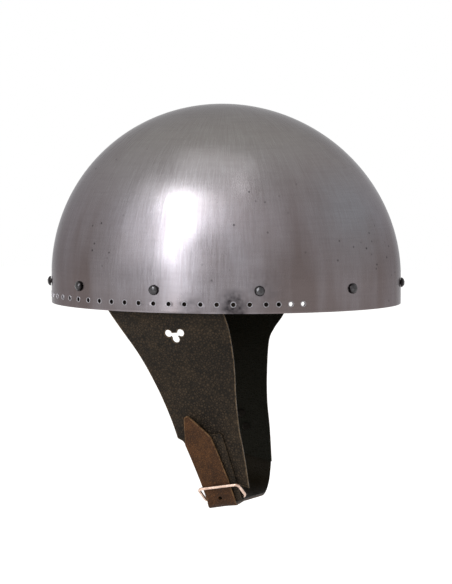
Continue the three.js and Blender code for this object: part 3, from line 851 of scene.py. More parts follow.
# The three lobes run into each other round the hole's middle.
def lobedHole():
    points = []
    for across, height in earHole["lobes"]:
        turn = math.atan2(height, across)
        away = math.hypot(across, height) * earHole["spread"]
        x = earHole["forward"] + away * math.cos(turn)
        y = -earHole["drop"] + away * math.sin(turn)
        reach = math.acos(-away / 2 / earHole["radius"])
        points += arc(x, y, earHole["radius"], turn - reach, turn + reach, 12)
    return points


def flapNormal(side):
    return Vector((-flap["yaw"], sideSign[side], -flap["lean"])).normalized()


def onFlap(side, forward, drop, raised):
    out = flap["flatHalfWidth"] + flap["yaw"] * forward - flap["lean"] * drop
    return Vector((forward, sideSign[side] * out, -drop)) + flapNormal(side) * raised


# Sizes of the tab, the buckle and the strap, and the places of their rivets in the flaps

tab = {
    "thickness": 0.0015,
    "width": 0.0214,
    "length": 0.0468,
    "slant": 11,
    "slotWidth": 0.0032,
    "slotReach": 0.0125,
    "foldRadius": 0.00225,
    "rivets": [0.0305, 0.04],
    "corner": 0.0022,
    "cutPitch": (0.0033, 0.005),
    "foldPitch": 0.0006,
    "wear": 0.45,
}
smallRivet = {
    "shank": 0.0013,
    "head": 0.0028,
    "headThickness": 0.0009,
    "recessDrill": 0.004,
    "drill": 0.018,
}
buckle = {
    "wire": 0.001,
    "width": 0.0282,
    "depth": 0.0132,
    "sidestep": 0.0013,
    "corner": 0.0024,
    "forward": 0.0091,
    "drop": 0.1248,
    "tongueWire": 0.0008,
    "tongueReach": 0.0106,
    "tongueClearance": 0.00025,
    "tongueTaper": [0.97, 0.93, 0.86, 0.72],
    "eyeDegrees": 300,
    "wireStep": 0.0012,
}
strap = {
    "width": 0.0194,
    "thickness": 0.0018,
    "tail": 0.062,
    "sidestep": 0.00905,
    "taper": 0.018,
    "tipWidth": 0.0026,
    "roundness": 0.92,
    "endCorner": (0.003, 0.0008),
    "cutPitch": (0.003, 0.0022),
    "hole": 0.0013,
    "holeReach": 0.0029,
    "out": 0.0042,
    "turnDrift": -0.001,
    "rivetDrops": [0.084, 0.093],
    "turnDegrees": (24, 48, 72),
    "chinForward": 0.0136,
    "chinAcross": 0.056,
    "chinDrop": 0.1334,
    # On the left flap: forward places and drops.
    "left": [(0.0136, 0.112), (0.0086, 0.101), (-0.0004, 0.08)],
    # The loose end is worn pale along its sides up to the fade, the rest much less.
    "wear": (0.75, 0.1),
    "wearFade": (0.066, 0.082),
    "unworn": 0.003,
}


def tabFrame():
    normal = flapNormal("right")
    level = Vector((0, 0, 1)).cross(normal).normalized()
    steepest = -(Vector((0, 0, 1)) - normal * normal.z).normalized()
    slant = math.radians(tab["slant"])
    down = steepest * math.cos(slant) + level * math.sin(slant)
    across = normal.cross(down).normalized()
    return normal, down, across if across.x > 0 else -across


tabNormal, tabDown, tabAcross = tabFrame()
pivotOut = rivet["seat"] + tab["thickness"] / 2 - tab["foldRadius"]
pivot = onFlap("right", buckle["forward"], buckle["drop"], pivotOut)


def fromPivot(across, down, out):
    return pivot + tabAcross * across + tabDown * down + tabNormal * out


def strapForwardAt(drop):
    (lowForward, lowDrop), (highForward, highDrop) = strap["left"][1:]
    return blendOf(lowForward, highForward, (lowDrop - drop) / (lowDrop - highDrop))


tabFaceOut = tab["foldRadius"] + tab["thickness"] / 2
tabSeats = [fromPivot(0, -reach, tabFaceOut) for reach in tab["rivets"]]
strapSeats = [
    onFlap("left", strapForwardAt(drop), drop, rivet["seat"] + strap["thickness"])
    for drop in strap["rivetDrops"]
]


def makeFlap(side):
    pin = flapRivetPoint(side)
    hole = smallRivet["shank"] + rivet["clearance"]
    seats = tabSeats if side == "right" else strapSeats
    middles = [point - flapNormal(side) * flap["holeDepth"] for point in seats]
    holes = [lobedHole(), circle(pin.x, pin.z, rivet["shank"] + rivet["clearance"])]
    holes += [circle(point.x, point.z, hole) for point in middles]
    outline = flapOutline(side)
    sheet = cutFlat(
        "cheek_leather_" + side, outline, holes, flap["thickness"],
        evenly(*flap["cutsX"]), evenly(*flap["cutsY"]),
    )

    def place(x, y, z):
        share = 0.5 - z / flap["thickness"]
        out = flapFaceOut(x, y) - flapAcross * share
        return Vector((x, sideSign[side] * out, y))
    return bend(sheet, place)


flapPieces = {side: makeFlap(side) for side in sideSign}
print("cheek flaps made")


# Strips that follow a line of points, each with the strip's outward direction

# An even curve through four values with uneven gaps, between the second and the third.
def eased(values, t):
    spans = [(second - first).length ** 0.5 for first, second in zip(values, values[1:])]
    if spans[1] < 0.0001:
        spans[1] = 1
    for side in (0, 2):
        if spans[side] < 0.0001:
            spans[side] = spans[1]
    before, whole, after = spans
    a, b, c, d = values
    start = ((b - a) / before - (c - a) / (before + whole) + (c - b) / whole) * whole
    end = ((c - b) / whole - (d - b) / (whole + after) + (d - c) / after) * whole
    square, cube = t * t, t * t * t
    bent = (-3 * b + 3 * c - 2 * start - end) * square + (2 * b - 2 * c + start + end) * cube
    return b + start * t + bent


def along(points, share):
    place = share * (len(points) - 1)
    i = min(int(place), len(points) - 2)
    before = points[i - 1] if i > 0 else points[0] * 2 - points[1]
    after = points[i + 2] if i + 2 < len(points) else points[-1] * 2 - points[-2]
    return eased([before, points[i], points[i + 1], after], place - i)


def ribbonLine(rows, samples=1200):
    points = [row[0] * 1000 for row in rows]  # in millimetres, so that short spans stay well shaped
    facings = [row[1] for row in rows]
    line, walked = [], 0
    for i in range(samples + 1):
        share = i / samples
        here = along(points, share) / 1000
        if line:
            walked += (here - line[-1][1]).length
        line.append((walked, here, along(facings, share)))
    return line


def ribbonPlace(line):
    lengths = [entry[0] for entry in line]

    def place(x, y, z):
        low, high = 0, len(line) - 1
        y = min(lengths[-1], max(0, y))
        while high - low > 1:
            half = (low + high) // 2
            if lengths[half] <= y:
                low = half
            else:
                high = half
        first, second = line[low], line[high]
        share = (y - first[0]) / max(1e-9, second[0] - first[0])
        middle = first[1].lerp(second[1], share)
        ahead = line[min(len(line) - 1, high + 1)][1] - line[max(0, low - 1)][1]
        tangent = ahead.normalized()
        side = tangent.cross(first[2].lerp(second[2], share)).normalized()
        out = side.cross(tangent).normalized()
        return middle + side * x + out * z
    return place


def tabRows():
    rows = []
    for down in (-tab["length"], -tab["length"] / 2):
        rows.append((fromPivot(0, down, tab["foldRadius"]), tabNormal))
    for turn in stepsOf(0, math.pi, 6):
        out = tabNormal * math.cos(turn) + tabDown * math.sin(turn)
        rows.append((pivot + out * tab["foldRadius"], out))
    for down in (-tab["length"] / 2, -tab["length"]):
        rows.append((fromPivot(0, down, -tab["foldRadius"]), -tabNormal))
    return rows


# Each flat rivet has a hole through the leather, and a recess that its outer head lies in.
def headDrills(seats, normal):
    spare = rivet["clearance"]
    reach = smallRivet["recessDrill"]
    drills = []
    for point in seats:
        recess = point + normal * (reach / 2 - smallRivet["headThickness"] - spare)
        drills.append(drillFor(recess, normal, smallRivet["head"] + spare, reach))
        drills.append(drillFor(point, normal, smallRivet["shank"] + spare, smallRivet["drill"]))
    return drills


def makeTab():
    line = ribbonLine(tabRows())
    whole = line[-1][0]
    half = tab["width"] / 2
    outline = roundedBox(-half, half, 0, whole, tab["corner"])
    foldStart = tab["length"]
    foldEnd = foldStart + math.pi * tab["foldRadius"]
    slotHalf = tab["slotWidth"] / 2
    slot = roundedBox(
        -slotHalf, slotHalf, foldStart - tab["slotReach"], foldEnd + tab["foldRadius"],
        slotHalf - 0.00005,
    )
    pitchX, pitchY = tab["cutPitch"]
    cuts = evenly(0, foldStart, pitchY) + evenly(foldEnd, whole, pitchY)
    cuts += evenly(foldStart - 0.002, whole / 2 + 0.006, tab["foldPitch"])
    sheet = cutFlat(
        "buckle_leather", outline, [slot], tab["thickness"],
        evenly(-half, half, pitchX), sorted(cuts), border=0.0008, bevel=0.00035,
    )
    bend(sheet, ribbonPlace(line), lambda spot: tab["wear"])
    drillOut(sheet, headDrills(tabSeats, tabNormal))
    smooth(sheet, 45)
    return sheet


strapTailShares = [
    (-1, -1), (-0.934, -0.945), (-0.83, -0.865), (-0.672, -0.734),
    (-0.477, -0.465), (-0.348, -0.209), (-0.318, 0),
]
chinPoints = [
    (0.57, -0.5, -0.965), (0.7, 0, -0.99), (0.81, 0.36, -1),
    (0.92, 0.67, -0.995), (0.97, 0.84, -0.975), (1, 0.94, -0.93),
]


def strapRows():
    rows = []
    for across, down in strapTailShares:
        point = fromPivot(across * strap["sidestep"], down * strap["tail"], strap["out"])
        rows.append((point, tabNormal))
    lastAcross = strapTailShares[-1][0] * strap["sidestep"]
    for degrees in strap["turnDegrees"]:
        turn = math.radians(degrees)
        out = tabNormal * math.cos(turn) + tabDown * math.sin(turn)
        across = lastAcross + strap["turnDrift"] * degrees / strap["turnDegrees"][-1]
        rows.append((fromPivot(across, 0, 0) + out * strap["out"], out))
    leftNormal = flapNormal("left")
    for forward, across, height in chinPoints:
        share = smoothStep(across, 0, 1)
        facing = Vector((0, 0, -1)).lerp(leftNormal, share)
        x, y = forward * strap["chinForward"], across * strap["chinAcross"]
        rows.append((Vector((x, y, height * strap["chinDrop"])), facing))
    for forward, drop in strap["left"]:
        raised = rivet["seat"] + strap["thickness"] / 2
        rows.append((onFlap("left", forward, drop, raised), leftNormal))
    return rows


def lengthNear(line, point):
    return min(line, key=lambda entry: (entry[1] - point).length)[0]


def makeStrap():
    line = ribbonLine(strapRows(), 2400)
    whole = line[-1][0]
    half = strap["width"] / 2
    edge = []
    for share in stepsOf(0, 1, 24):
        reach = share ** 1.4
        fullness = blendOf(strap["tipWidth"], strap["width"], reach ** strap["roundness"])
        edge.append((fullness / 2, strap["taper"] * reach))
    outline = [(-x, y) for x, y in reversed(edge)]
    outline += edge
    wide, narrow = strap["endCorner"]
    end = [(half, whole - wide), (half - narrow, whole - narrow), (half - wide, whole)]
    outline += end
    outline += [(-x, y) for x, y in reversed(end)]
    pitchX, pitchY = strap["cutPitch"]
    acrossHole = strapTailShares[-1][0] * strap["sidestep"]
    holeAt = lengthNear(line, fromPivot(acrossHole, -strap["holeReach"], strap["out"]))
    sheet = cutFlat(
        "chin_leather", outline, [circle(0, holeAt, strap["hole"], 16)], strap["thickness"],
        evenly(-half, half, pitchX), evenly(0, whole, pitchY), border=0.0011, bevel=0.0005,
    )

    def wearAt(spot):
        if math.hypot(spot.x, spot.y - holeAt) < strap["unworn"]:
            return 0
        return blendOf(*strap["wear"], smoothStep(spot.y, *strap["wearFade"]))
    bend(sheet, ribbonPlace(line), wearAt)
    drillOut(sheet, headDrills(strapSeats, flapNormal("left")))
    smooth(sheet, 45)
    return sheet


tabPiece = makeTab()
strapPiece = makeStrap()
print("tab and strap made")


# Flat rivets of the tab and the strap, with a flush outer head

def makeSmallRivets():
    made = []
    tabDepth = flap["thickness"] + 2 * tab["thickness"] + 2 * rivet["seat"]
    strapDepth = flap["thickness"] + strap["thickness"] + rivet["seat"]
    jobs = [
        ("tab_rivet_", tabSeats, tabNormal, tabDepth),
        ("strap_rivet_", strapSeats, flapNormal("left"), strapDepth),
    ]
    head, shank, thick = smallRivet["head"], smallRivet["shank"], smallRivet["headThickness"]
    for label, seats, normal, depth in jobs:
        inner = -(depth + rivet["seat"])
        profile = [
            (head * 0.5, inner - thick * 0.98), (head * 0.85, inner - thick * 0.9),
            (head, inner - thick * 0.55), (head, inner), (shank, inner), (shank, -thick),
            (head, -thick), (head, -thick * 0.3), (head * 0.88, -thick * 0.06),
            (head * 0.4, -0.00001),
        ]
        model = turned(label + "model", profile, 24)
        smooth(model, 40)
        for i, point in enumerate(seats):
            name = "flat_" + label + str(i + 1)
            made.append((copyOf(model, name, aimed(point, normal, i)), label + str(i + 1)))
        removePiece(model)
    return made


smallRivets = makeSmallRivets()


# Buckle: a bent wire frame on its pivot bar, and a tongue on the same bar

def makeFrame():
    frontOut = strap["out"] + strap["thickness"] / 2 + rivet["seat"] + buckle["wire"]
    drop = math.sqrt(buckle["depth"] ** 2 - frontOut ** 2)
    towards = (tabDown * -drop + tabNormal * frontOut).normalized()
    half = buckle["width"] / 2
    box = roundedBox(-half, half, 0, buckle["depth"], buckle["corner"], 10)
    points = [(rivet["seat"], 0), *box[-11:], *box[:-11], (0, 0)]
    dense = []
    for first, second in zip(points, points[1:]):
        steps = max(1, int(math.dist(first, second) / buckle["wireStep"]))
        for share in stepsOf(0, 1, steps)[:-1]:
            dense.append([blendOf(a, b, share) for a, b in zip(first, second)])
    dense.append(points[-1])
    places = []
    for across, reach in dense:
        places.append(fromPivot(across - buckle["sidestep"], 0, 0) + towards * reach)
    return wireThrough("buckle_wire", places, buckle["wire"])


def makeTongue():
    eye = buckle["wire"] + buckle["tongueClearance"] + buckle["tongueWire"]
    points = []
    for turn in stepsOf(math.radians(buckle["eyeDegrees"]), 0, 32):
        points.append(fromPivot(0, eye * math.sin(turn), eye * math.cos(turn)))
    for reach in stepsOf(0, buckle["tongueReach"], 8)[1:]:
        points.append(fromPivot(0, -reach, eye))
    taper = buckle["tongueTaper"]
    thins = [1] * (len(points) - len(taper)) + taper
    return wireThrough("buckle_prong", points, buckle["tongueWire"], thins=thins)


buckleWire = makeFrame()
buckleProng = makeTongue()
print("buckle made")


# Finishes: all are procedural, on each piece's own coordinates and painted attributes

def setInputs(tree, node, values):
    for name, value in values.items():
        socket = node.inputs[name]
        if isinstance(value, bpy.types.NodeSocket):
            tree.links.new(value, socket)
        elif isinstance(value, tuple) and len(value) < len(socket.default_value):
            socket.default_value = (*value, 1)
        elif value is not None:
            socket.default_value = value


def addNode(tree, kind, inputs=None, **settings):
    made = tree.nodes.new("ShaderNode" + kind)
    for name, value in settings.items():
        setattr(made, name, value)
    setInputs(tree, made, inputs or {})
    return made


def newFinish(name):
    finish = bpy.data.materials.new(name)
    finish.use_nodes = True
    tree = finish.node_tree
    return finish, tree, tree.nodes["Principled BSDF"]


def ownCoords(tree):
    return addNode(tree, "TexCoord").outputs["Object"]


def painted(tree, name):
    return addNode(tree, "Attribute", attribute_name=name).outputs["Fac"]


def ramp(tree, source, stops):
    made = addNode(tree, "ValToRGB", {"Fac": source})
    while len(made.color_ramp.elements) < len(stops):
        made.color_ramp.elements.new(0.5)
    for element, (place, colour) in zip(made.color_ramp.elements, stops):
        element.position = place
        element.color = (*colour, 1)
    return made.outputs["Color"]


def spread(tree, source, low, high, fromLow=0.3, fromHigh=0.7):
    return addNode(tree, "MapRange", {
        "Value": source, "From Min": fromLow, "From Max": fromHigh, "To Min": low, "To Max": high,
    }).outputs["Result"]


def mixColours(tree, share, first, second):
    return addNode(tree, "Mix", {0: share, 6: first, 7: second}, data_type="RGBA").outputs[2]


def maths(tree, operation, first, second=None, clamp=False):
    inputs = {0: first, 1: second}
    return addNode(tree, "Math", inputs, operation=operation, use_clamp=clamp).outputs[0]


def times(tree, first, second, clamp=False):
    return maths(tree, "MULTIPLY", first, second, clamp)


def plus(tree, first, second):
    return maths(tree, "ADD", first, second)


def vectors(tree, operation, first, second=None):
    return addNode(tree, "VectorMath", {0: first, 1: second}, operation=operation)


def noiseOn(tree, vector, scale, detail=4, rough=0.55, distortion=0):
    return addNode(tree, "TexNoise", {
        "Vector": vector, "Scale": scale, "Detail": detail, "Roughness": rough,
        "Distortion": distortion,
    }).outputs["Fac"]


def bumpFrom(tree, height, strength, distance, before=None):
    return addNode(tree, "Bump", {
        "Height": height, "Strength": strength, "Distance": distance, "Normal": before,
    }).outputs["Normal"]


steelFinish = {
    "plain": (0.235, 0.219, 0.236),
    "crown": (0.228, 0.216, 0.207),
    "crownFrom": (0.06, 0.11),
    "brown": (0.132, 0.107, 0.105),
    "blue": (0.187, 0.19, 0.206),
    "bluePlace": ((0.09, -0.05, 0.06), 0.04, 0.7),
    "dark": (0.016, 0.014, 0.016),
    # The hole lips are painted this lighter colour all round, as a highlight.
    "lipHighlight": (0.38, 0.365, 0.385),
    "grazing": (0.64, 0.64, 0.66),
    "roughness": (0.21, 0.31),
    "lipRoughness": 0.2,
    "markedRoughness": 0.3,
    "brushScale": 110,
    "brushRise": 0.9,
    "levelLines": (45, 45, 800),
    "wander": 0.03,
    # How much painted dark reflection, tinted brown, lies on the plate from back to front: places
    # in metres along X, and shares.
    "darkReflectionReach": 0.12,
    "stainAndDarkReflection": [
        (-0.116, 0.8), (-0.105, 1), (-0.09, 1), (-0.074, 0.65), (-0.056, 0.12), (0.025, 0.05),
        (0.045, 0.6), (0.058, 0.95), (0.071, 0.85), (0.084, 0.4), (0.098, 0.45), (0.116, 0.8),
    ],
    "pitScale": 150,
    # Dark marks, and a painted shadow round one rivet: place, radius and strength.
    "markGrain": 260,
    "marksAndShade": [
        ((0.0196, -0.096, 0.0054), 0.0125, 1.0),
        ((0.0235, -0.0955, 0.002), 0.008, 0.9),
        # Painted shadow round the rivet right_2.
        ((0.038, -0.0925, 0.0148), 0.017, 0.3),
        ((-0.005, -0.0977, 0.0035), 0.0125, 0.5),
        ((-0.0415, -0.0565, 0.1015), 0.0011, 0.9),
        ((0.0015, -0.0515, 0.1105), 0.0009, 0.9),
        ((0.0055, -0.052, 0.1098), 0.0009, 0.8),
    ],
}


# A soft spot at a place on the skull, from 0 to its strength in the middle.
def markAt(tree, coords, place, radius, strength):
    away = vectors(tree, "DISTANCE", coords, place).outputs["Value"]
    return spread(tree, away, strength, 0, radius * 0.25, radius)


# The noises of the plate: brushing from the rim to the crown, level polishing lines and clouds.
def steelNoises(tree, coords, height):
    level = vectors(tree, "MULTIPLY", coords, (1 / skull["halfLength"], 1 / skull["halfWidth"], 0))
    around = vectors(tree, "NORMALIZE", level.outputs[0])
    rise = addNode(tree, "CombineXYZ", {"Z": times(tree, height, steelFinish["brushRise"])})
    brushing = vectors(tree, "ADD", around.outputs[0], rise.outputs[0]).outputs[0]
    levelled = vectors(tree, "MULTIPLY", coords, steelFinish["levelLines"]).outputs[0]
    return {
        "fine": noiseOn(tree, brushing, steelFinish["brushScale"], 5, 0.6),
        "broad": noiseOn(tree, brushing, 9, 3, 0.5),
        "cloud": noiseOn(tree, coords, 14, 4, 0.6, 0.4),
        "speck": noiseOn(tree, coords, 900, 3, 0.6),
        "grind": noiseOn(tree, levelled, 1, 4, 0.65),
        "swell": noiseOn(tree, coords, 22, 2, 0.4),
    }


# Painted dark reflection: brown bands from back to front, with soft, uneven sides, weaker towards
# the crown.
def paintedDarkReflection(tree, split, noises):
    reach = steelFinish["darkReflectionReach"]
    wander = times(tree, maths(tree, "SUBTRACT", noises["cloud"], 0.5), steelFinish["wander"])
    across = spread(tree, plus(tree, split["X"], wander), 0, 1, -reach, reach)
    stops = []
    for place, share in steelFinish["stainAndDarkReflection"]:
        stops.append(((place + reach) / (2 * reach), (share, share, share)))
    tint = ramp(tree, across, stops)
    tint = times(tree, tint, spread(tree, split["Z"], 1.2, 0.15, 0.02, 0.105))
    return times(tree, tint, spread(tree, noises["broad"], 0.6, 1.2), clamp=True)


def makeSteel():
    finish, tree, shader = newFinish("skull_steel")
    coords = ownCoords(tree)
    split = addNode(tree, "SeparateXYZ", {0: coords}).outputs
    noises = steelNoises(tree, coords, split["Z"])
    broad, cloud, fine = noises["broad"], noises["cloud"], noises["fine"]
    brown, dark = steelFinish["brown"], steelFinish["dark"]

    crown = spread(tree, split["Z"], 0, 1, *steelFinish["crownFrom"])
    colour = mixColours(tree, crown, steelFinish["plain"], steelFinish["crown"])
    # Painted dark reflection, in brown bands from back to front.
    colour = mixColours(tree, paintedDarkReflection(tree, split, noises), colour, brown)
    cold = markAt(tree, coords, *steelFinish["bluePlace"])
    colour = mixColours(tree, cold, colour, steelFinish["blue"])
    colour = mixColours(tree, spread(tree, cloud, 0, 0.45, 0.46, 0.72), colour, brown)
    rim = spread(tree, split["Z"], 0.5, 0, 0.001, 0.017)
    rim = times(tree, rim, spread(tree, broad, 0.4, 1.3), clamp=True)
    colour = mixColours(tree, rim, colour, brown)
    colour = mixColours(tree, spread(tree, fine, 0.24, 0, 0.35, 0.6), colour, brown)
    colour = mixColours(tree, spread(tree, noises["grind"], 0.07, 0, 0.32, 0.55), colour, dark)

    # Pits, more of them where the plate is cloudy and behind.
    dots = addNode(tree, "TexVoronoi", {
        "Vector": coords, "Scale": steelFinish["pitScale"], "Randomness": 1,
    })
    pits = spread(tree, dots.outputs["Distance"], 1, 0, 0.05, 0.14)
    worn = plus(tree, cloud, spread(tree, split["X"], 0.07, 0, -0.06, -0.02))
    pits = times(tree, pits, spread(tree, worn, 0, 0.85, 0.54, 0.62))
    colour = mixColours(tree, pits, colour, dark)

    # Dark marks on the plate, and a painted shadow round the rivet right_2; they also make the
    # plate rougher.
    marksAndShade = None
    for place, radius, strength in steelFinish["marksAndShade"]:
        spot = markAt(tree, coords, place, radius, strength)
        marksAndShade = spot if marksAndShade is None else maths(tree, "MAXIMUM", marksAndShade, spot)
    grain = noiseOn(tree, coords, steelFinish["markGrain"], 3)
    marksAndShade = times(tree, marksAndShade, spread(tree, grain, 0.35, 1.1))
    colour = mixColours(tree, marksAndShade, colour, dark)
    # Painted highlight: the hole lips are lighter all round, broken by specks.
    lips = spread(tree, noises["speck"], 0.3, 1.1)
    lips = times(tree, painted(tree, "lipHighlight"), lips, clamp=True)
    colour = mixColours(tree, lips, colour, steelFinish["lipHighlight"])

    gloss = plus(tree, times(tree, fine, 0.6), times(tree, cloud, 0.4))
    gloss = spread(tree, gloss, *steelFinish["roughness"])
    gloss = plus(tree, gloss, times(tree, lips, steelFinish["lipRoughness"]))
    gloss = plus(tree, gloss, times(tree, marksAndShade, steelFinish["markedRoughness"]))
    normal = bumpFrom(tree, noises["swell"], 0.35, 0.0016)
    normal = bumpFrom(tree, broad, 0.25, 0.0008, normal)
    normal = bumpFrom(tree, fine, 0.06, 0.0001, normal)
    normal = bumpFrom(tree, noises["speck"], 0.1, 0.00003, normal)
    setInputs(tree, shader, {
        "Base Color": colour, "Metallic": 1, "Specular Tint": steelFinish["grazing"],
        "Roughness": gloss, "Normal": normal,
    })
    return finish


def makeMetal(name, plain, stainAndDarkReflection, roughness, stainShare):
    finish, tree, shader = newFinish(name)
    coords = ownCoords(tree)
    cloud = noiseOn(tree, coords, 260, 4, 0.65, 0.5)
    colour = mixColours(tree, spread(tree, cloud, 0, stainShare, 0.42, 0.68), plain, stainAndDarkReflection)
    # Painted shade at the foot of the domed rivet heads, darkened towards near black.
    colour = mixColours(tree, painted(tree, "creviceShade"), colour, (0.012, 0.01, 0.01))
    normal = bumpFrom(tree, cloud, 0.25, 0.0004)
    normal = bumpFrom(tree, noiseOn(tree, coords, 700, 4, 0.6), 0.18, 0.0001, normal)
    setInputs(tree, shader, {
        "Base Color": colour, "Metallic": 1, "Roughness": spread(tree, cloud, *roughness),
        "Normal": normal,
    })
    return finish


def makeLeather(
    name, dark, light, edge, roughness, grain=700, grainDepth=0.0002, shine=0.12, inner=None,
):
    finish, tree, shader = newFinish(name)
    coords = ownCoords(tree)
    patches = noiseOn(tree, coords, 55, 5, 0.62, 0.3)
    fleck = noiseOn(tree, coords, 420, 4, 0.6)
    tone = plus(tree, times(tree, patches, 0.56), times(tree, fleck, 0.44))
    cells = addNode(
        tree, "TexVoronoi", {"Vector": coords, "Scale": grain, "Randomness": 1},
        feature="DISTANCE_TO_EDGE",
    )
    pebbles = spread(tree, cells.outputs["Distance"], 0, 1, 0.0, 0.35)
    tone = plus(tree, times(tree, tone, 0.72), times(tree, pebbles, 0.24))
    colour = ramp(tree, tone, [(0.36, dark), (0.64, light)])
    worn = spread(tree, fleck, 0.5, 1.15, 0.35, 0.6)
    worn = times(tree, painted(tree, "cutEdge"), worn, clamp=True)
    colour = mixColours(tree, spread(tree, worn, 0, 1, 0.3, 0.95), colour, edge)
    # Painted shade: the inner faces are darkened to the inner colour, as the shade inside the flaps
    # and the strap.
    if inner:
        innerSideShade = spread(tree, painted(tree, "innerSideShade"), 0, 1, 0.4, 0.9)
        colour = mixColours(tree, innerSideShade, colour, inner)
    normal = bumpFrom(tree, patches, 0.4, 0.0008)
    normal = bumpFrom(tree, pebbles, 0.6, grainDepth, normal)
    normal = bumpFrom(tree, noiseOn(tree, coords, 2600, 3, 0.6), 0.3, 0.00006, normal)
    setInputs(tree, shader, {
        "Base Color": colour, "Roughness": spread(tree, tone, *roughness, 0.35, 0.65),
        "Specular IOR Level": shine, "Normal": normal,
    })
    return finish


def makeThread(name, light, dark):
    finish, tree, shader = newFinish(name)
    fibres = noiseOn(tree, ownCoords(tree), 2200, 3, 0.6, 1.2)
    setInputs(tree, shader, {
        "Base Color": ramp(tree, fibres, [(0.35, dark), (0.65, light)]),
        "Roughness": 0.85, "Normal": bumpFrom(tree, fibres, 0.5, 0.0001),
    })
    return finish


steel = makeSteel()
iron = makeMetal(
    "rivet_iron", (0.064, 0.062, 0.064), (0.024, 0.021, 0.021), (0.04, 0.1), 0.6,
)
blackIron = makeMetal(
    "blackened_iron", (0.014, 0.012, 0.01), (0.006, 0.005, 0.004), (0.5, 0.7), 0.7,
)
brass = makeMetal("buckle_brass", (0.66, 0.49, 0.4), (0.24, 0.14, 0.09), (0.2, 0.42), 0.7)
# The inner colours of the dark and the russet leather are painted shade on the inner faces.
darkLeather = makeLeather(
    "dark_leather", (0.007, 0.005, 0.003), (0.045, 0.031, 0.019), (0.13, 0.088, 0.05),
    (0.55, 0.75), grain=560, grainDepth=0.0005, shine=0.1, inner=(0.0046, 0.0042, 0.0018),
)
russetLeather = makeLeather(
    "russet_leather", (0.028, 0.012, 0.0048), (0.09, 0.0385, 0.0147), (0.2, 0.114, 0.055),
    (0.5, 0.7), grain=760, grainDepth=0.00032, shine=0.1, inner=(0.0062, 0.0042, 0.0013),
)
# The liner band is made near black, which paints the shade inside the skull seen through the
# curtain holes.
bandLeather = makeLeather(
    "band_leather", (0.008, 0.006, 0.0045), (0.022, 0.016, 0.011), (0.03, 0.022, 0.015), (0.6, 0.8),
)
linerLeather = makeLeather(
    "liner_leather", (0.17, 0.095, 0.045), (0.28, 0.17, 0.09), (0.36, 0.25, 0.15), (0.6, 0.8),
)
lacing = makeLeather(
    "lacing", (0.06, 0.035, 0.018), (0.12, 0.075, 0.04), (0.2, 0.13, 0.08), (0.6, 0.8),
    grain=1600, grainDepth=0.00012,
)
thread = makeThread("waxed_thread", (0.42, 0.34, 0.22), (0.24, 0.18, 0.11))
print("finishes made")


# Every piece gets its finish, its body and the node that it stands for

def dress(piece, finish, slotName, body, *nodes):
    piece.data.materials.clear()
    piece.data.materials.append(finish)
    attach(piece, body)
    if nodes:
        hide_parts(*nodes)


dress(skullPlate, steel, "skull_steel", "helmet", "skull_cap")
for made, node in rivetPieces:
    dress(made, iron, "rivet_iron", "helmet", node)
dress(linerStrip, bandLeather, "dark_leather", "helmet", "liner_band")
for number, made in enumerate(petalPieces, 1):
    dress(made, linerLeather, "liner_leather", "helmet", "liner_petal_%d" % number)
dress(stitchPiece, thread, "lacing", "helmet")
dress(lacePiece, lacing, "lacing", "helmet", "crown_lace")
for side, made in flapPieces.items():
    dress(made, darkLeather, "dark_leather", "chin_harness", "cheek_flap_" + side)
dress(tabPiece, darkLeather, "dark_leather", "chin_harness", "buckle_tab")
dress(strapPiece, russetLeather, "russet_leather", "chin_harness", "chin_strap")
for made, node in smallRivets:
    finish, slotName = (blackIron, "rivet_iron") if node.startswith("strap") else (brass, "brass")
    dress(made, finish, slotName, "chin_harness", node)
dress(buckleWire, brass, "brass", "buckle_frame", "buckle_frame")
dress(buckleProng, brass, "brass", "buckle_tongue", "buckle_tongue")
print("pieces dressed")


# Camera, as the photograph saw it

view = {
    "turn": 9,
    "height": 4.5,
    "distance": 1.3,
    "lens": 119.34,
    "rimAt": (225.5, 301.5),
    "picture": (452, 584),
}


def fromCamera(turn, height):
    base = math.radians(view["turn"])
    right = Vector((math.cos(base), math.sin(base), 0))
    near = Vector((math.sin(base), -math.cos(base), 0))
    turn, height = math.radians(turn), math.radians(height)
    level = right * math.sin(turn) + near * math.cos(turn)
    return level * math.cos(height) + Vector((0, 0, math.sin(height)))


def aimFrom(made, place, target):
    made.location = place
    made.rotation_euler = (place - target).to_track_quat("Z", "Y").to_euler()


cameraData = bpy.data.cameras.new("camera")
camera = bpy.data.objects.new("camera", cameraData)
bpy.context.collection.objects.link(camera)
aimFrom(camera, fromCamera(0, view["height"]) * view["distance"], Vector((0, 0, 0)))
cameraData.lens = view["lens"]
cameraData.sensor_width = 36
longSide = max(view["picture"])
cameraData.shift_x = (view["picture"][0] / 2 - view["rimAt"][0]) / longSide
cameraData.shift_y = (view["rimAt"][1] - view["picture"][1] / 2) / longSide
bpy.context.scene.camera = camera


# Light: a tall window lamp on the left, a thin one, soft fills, and a plain white surround

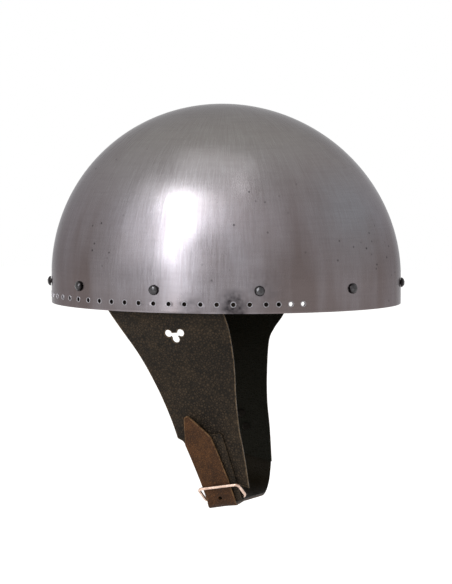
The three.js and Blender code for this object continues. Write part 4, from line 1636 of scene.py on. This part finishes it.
# Turn and height in degrees from the camera, distance, size and watts.
lamps = {
    "windowTop": (-37, 42, 1.7, (0.6, 0.46), 3.6),
    "windowCore": (-37, 41, 1.69, (0.09, 0.11), 2.2),
    "windowMiddle": (-33, 27, 1.7, (0.54, 0.42), 4.2),
    "windowLow": (-35, 14, 1.7, (0.32, 0.36), 2.3),
    "windowFoot": (-32, 0, 1.7, (0.42, 0.52), 2.1),
    "windowGlow": (-22, 67, 1.9, (1.3, 1.0), 3.2),
    "windowSide": (-9, 40, 1.9, (0.8, 0.8), 1.7),
    "windowEdge": (-18, 37, 1.8, (0.3, 0.8), 1.4),
    "windowHeel": (-19, 10, 1.8, (0.26, 0.42), 0.5),
    "paleFoot": (5, 7, 2.0, (0.7, 0.8), 0.5),
    "paleSide": (6, 33, 2.1, (1.5, 1.1), 1.7),
    "thinStrip": (10, 55, 1.7, (0.045, 0.34), 0.35),
    "broadFill": (-46, 30, 2.3, (1.9, 2.0), 12),
}
lampColour = (0.94, 0.97, 1)
lampAim = 0.02
for name, (turn, height, distance, size, watts) in lamps.items():
    data = bpy.data.lights.new(name, "AREA")
    data.shape = "RECTANGLE"
    data.size, data.size_y = size
    data.energy = watts
    data.color = lampColour
    made = bpy.data.objects.new(name, data)
    bpy.context.collection.objects.link(made)
    aimFrom(made, fromCamera(turn, height) * distance, Vector((0, 0, lampAim)))
    made.visible_camera = False

surround = {"ambient": 0.56, "ambientColour": (1.0, 0.985, 0.97)}


def seenDirectly(tree):
    path = addNode(tree, "LightPath").outputs
    seen = maths(tree, "MAXIMUM", path["Is Camera Ray"], path["Is Glossy Ray"])
    return maths(tree, "MAXIMUM", seen, path["Is Transmission Ray"])


world = bpy.data.worlds.new("white_room")
bpy.context.scene.world = world
world.use_nodes = True
worldTree = world.node_tree
worldTree.nodes.clear()
ambient = addNode(worldTree, "Background", {
    "Color": surround["ambientColour"], "Strength": surround["ambient"],
})
white = addNode(worldTree, "Background", {"Color": (1, 1, 1), "Strength": 1})
chooser = addNode(worldTree, "MixShader", {
    0: seenDirectly(worldTree), 1: ambient.outputs[0], 2: white.outputs[0],
})
addNode(worldTree, "OutputWorld", {0: chooser.outputs[0]})

floorPlace = {"level": -0.42, "size": 14, "colour": (0.86, 0.86, 0.86), "lift": 0.62}
deselectAll()
bpy.ops.mesh.primitive_plane_add(size=floorPlace["size"], location=(0, 0, floorPlace["level"]))
floor = bpy.context.object
floor.name = "pale_floor"
floorFinish, floorTree, floorShader = newFinish("pale_floor")
setInputs(floorTree, floorShader, {
    "Base Color": floorPlace["colour"], "Roughness": 0.9, "Emission Color": (1, 1, 1),
    "Emission Strength": times(floorTree, seenDirectly(floorTree), floorPlace["lift"]),
})
floor.data.materials.append(floorFinish)

bpy.context.scene.view_settings.view_transform = "Standard"
print("camera and light set")

bpy.context.view_layer.update()
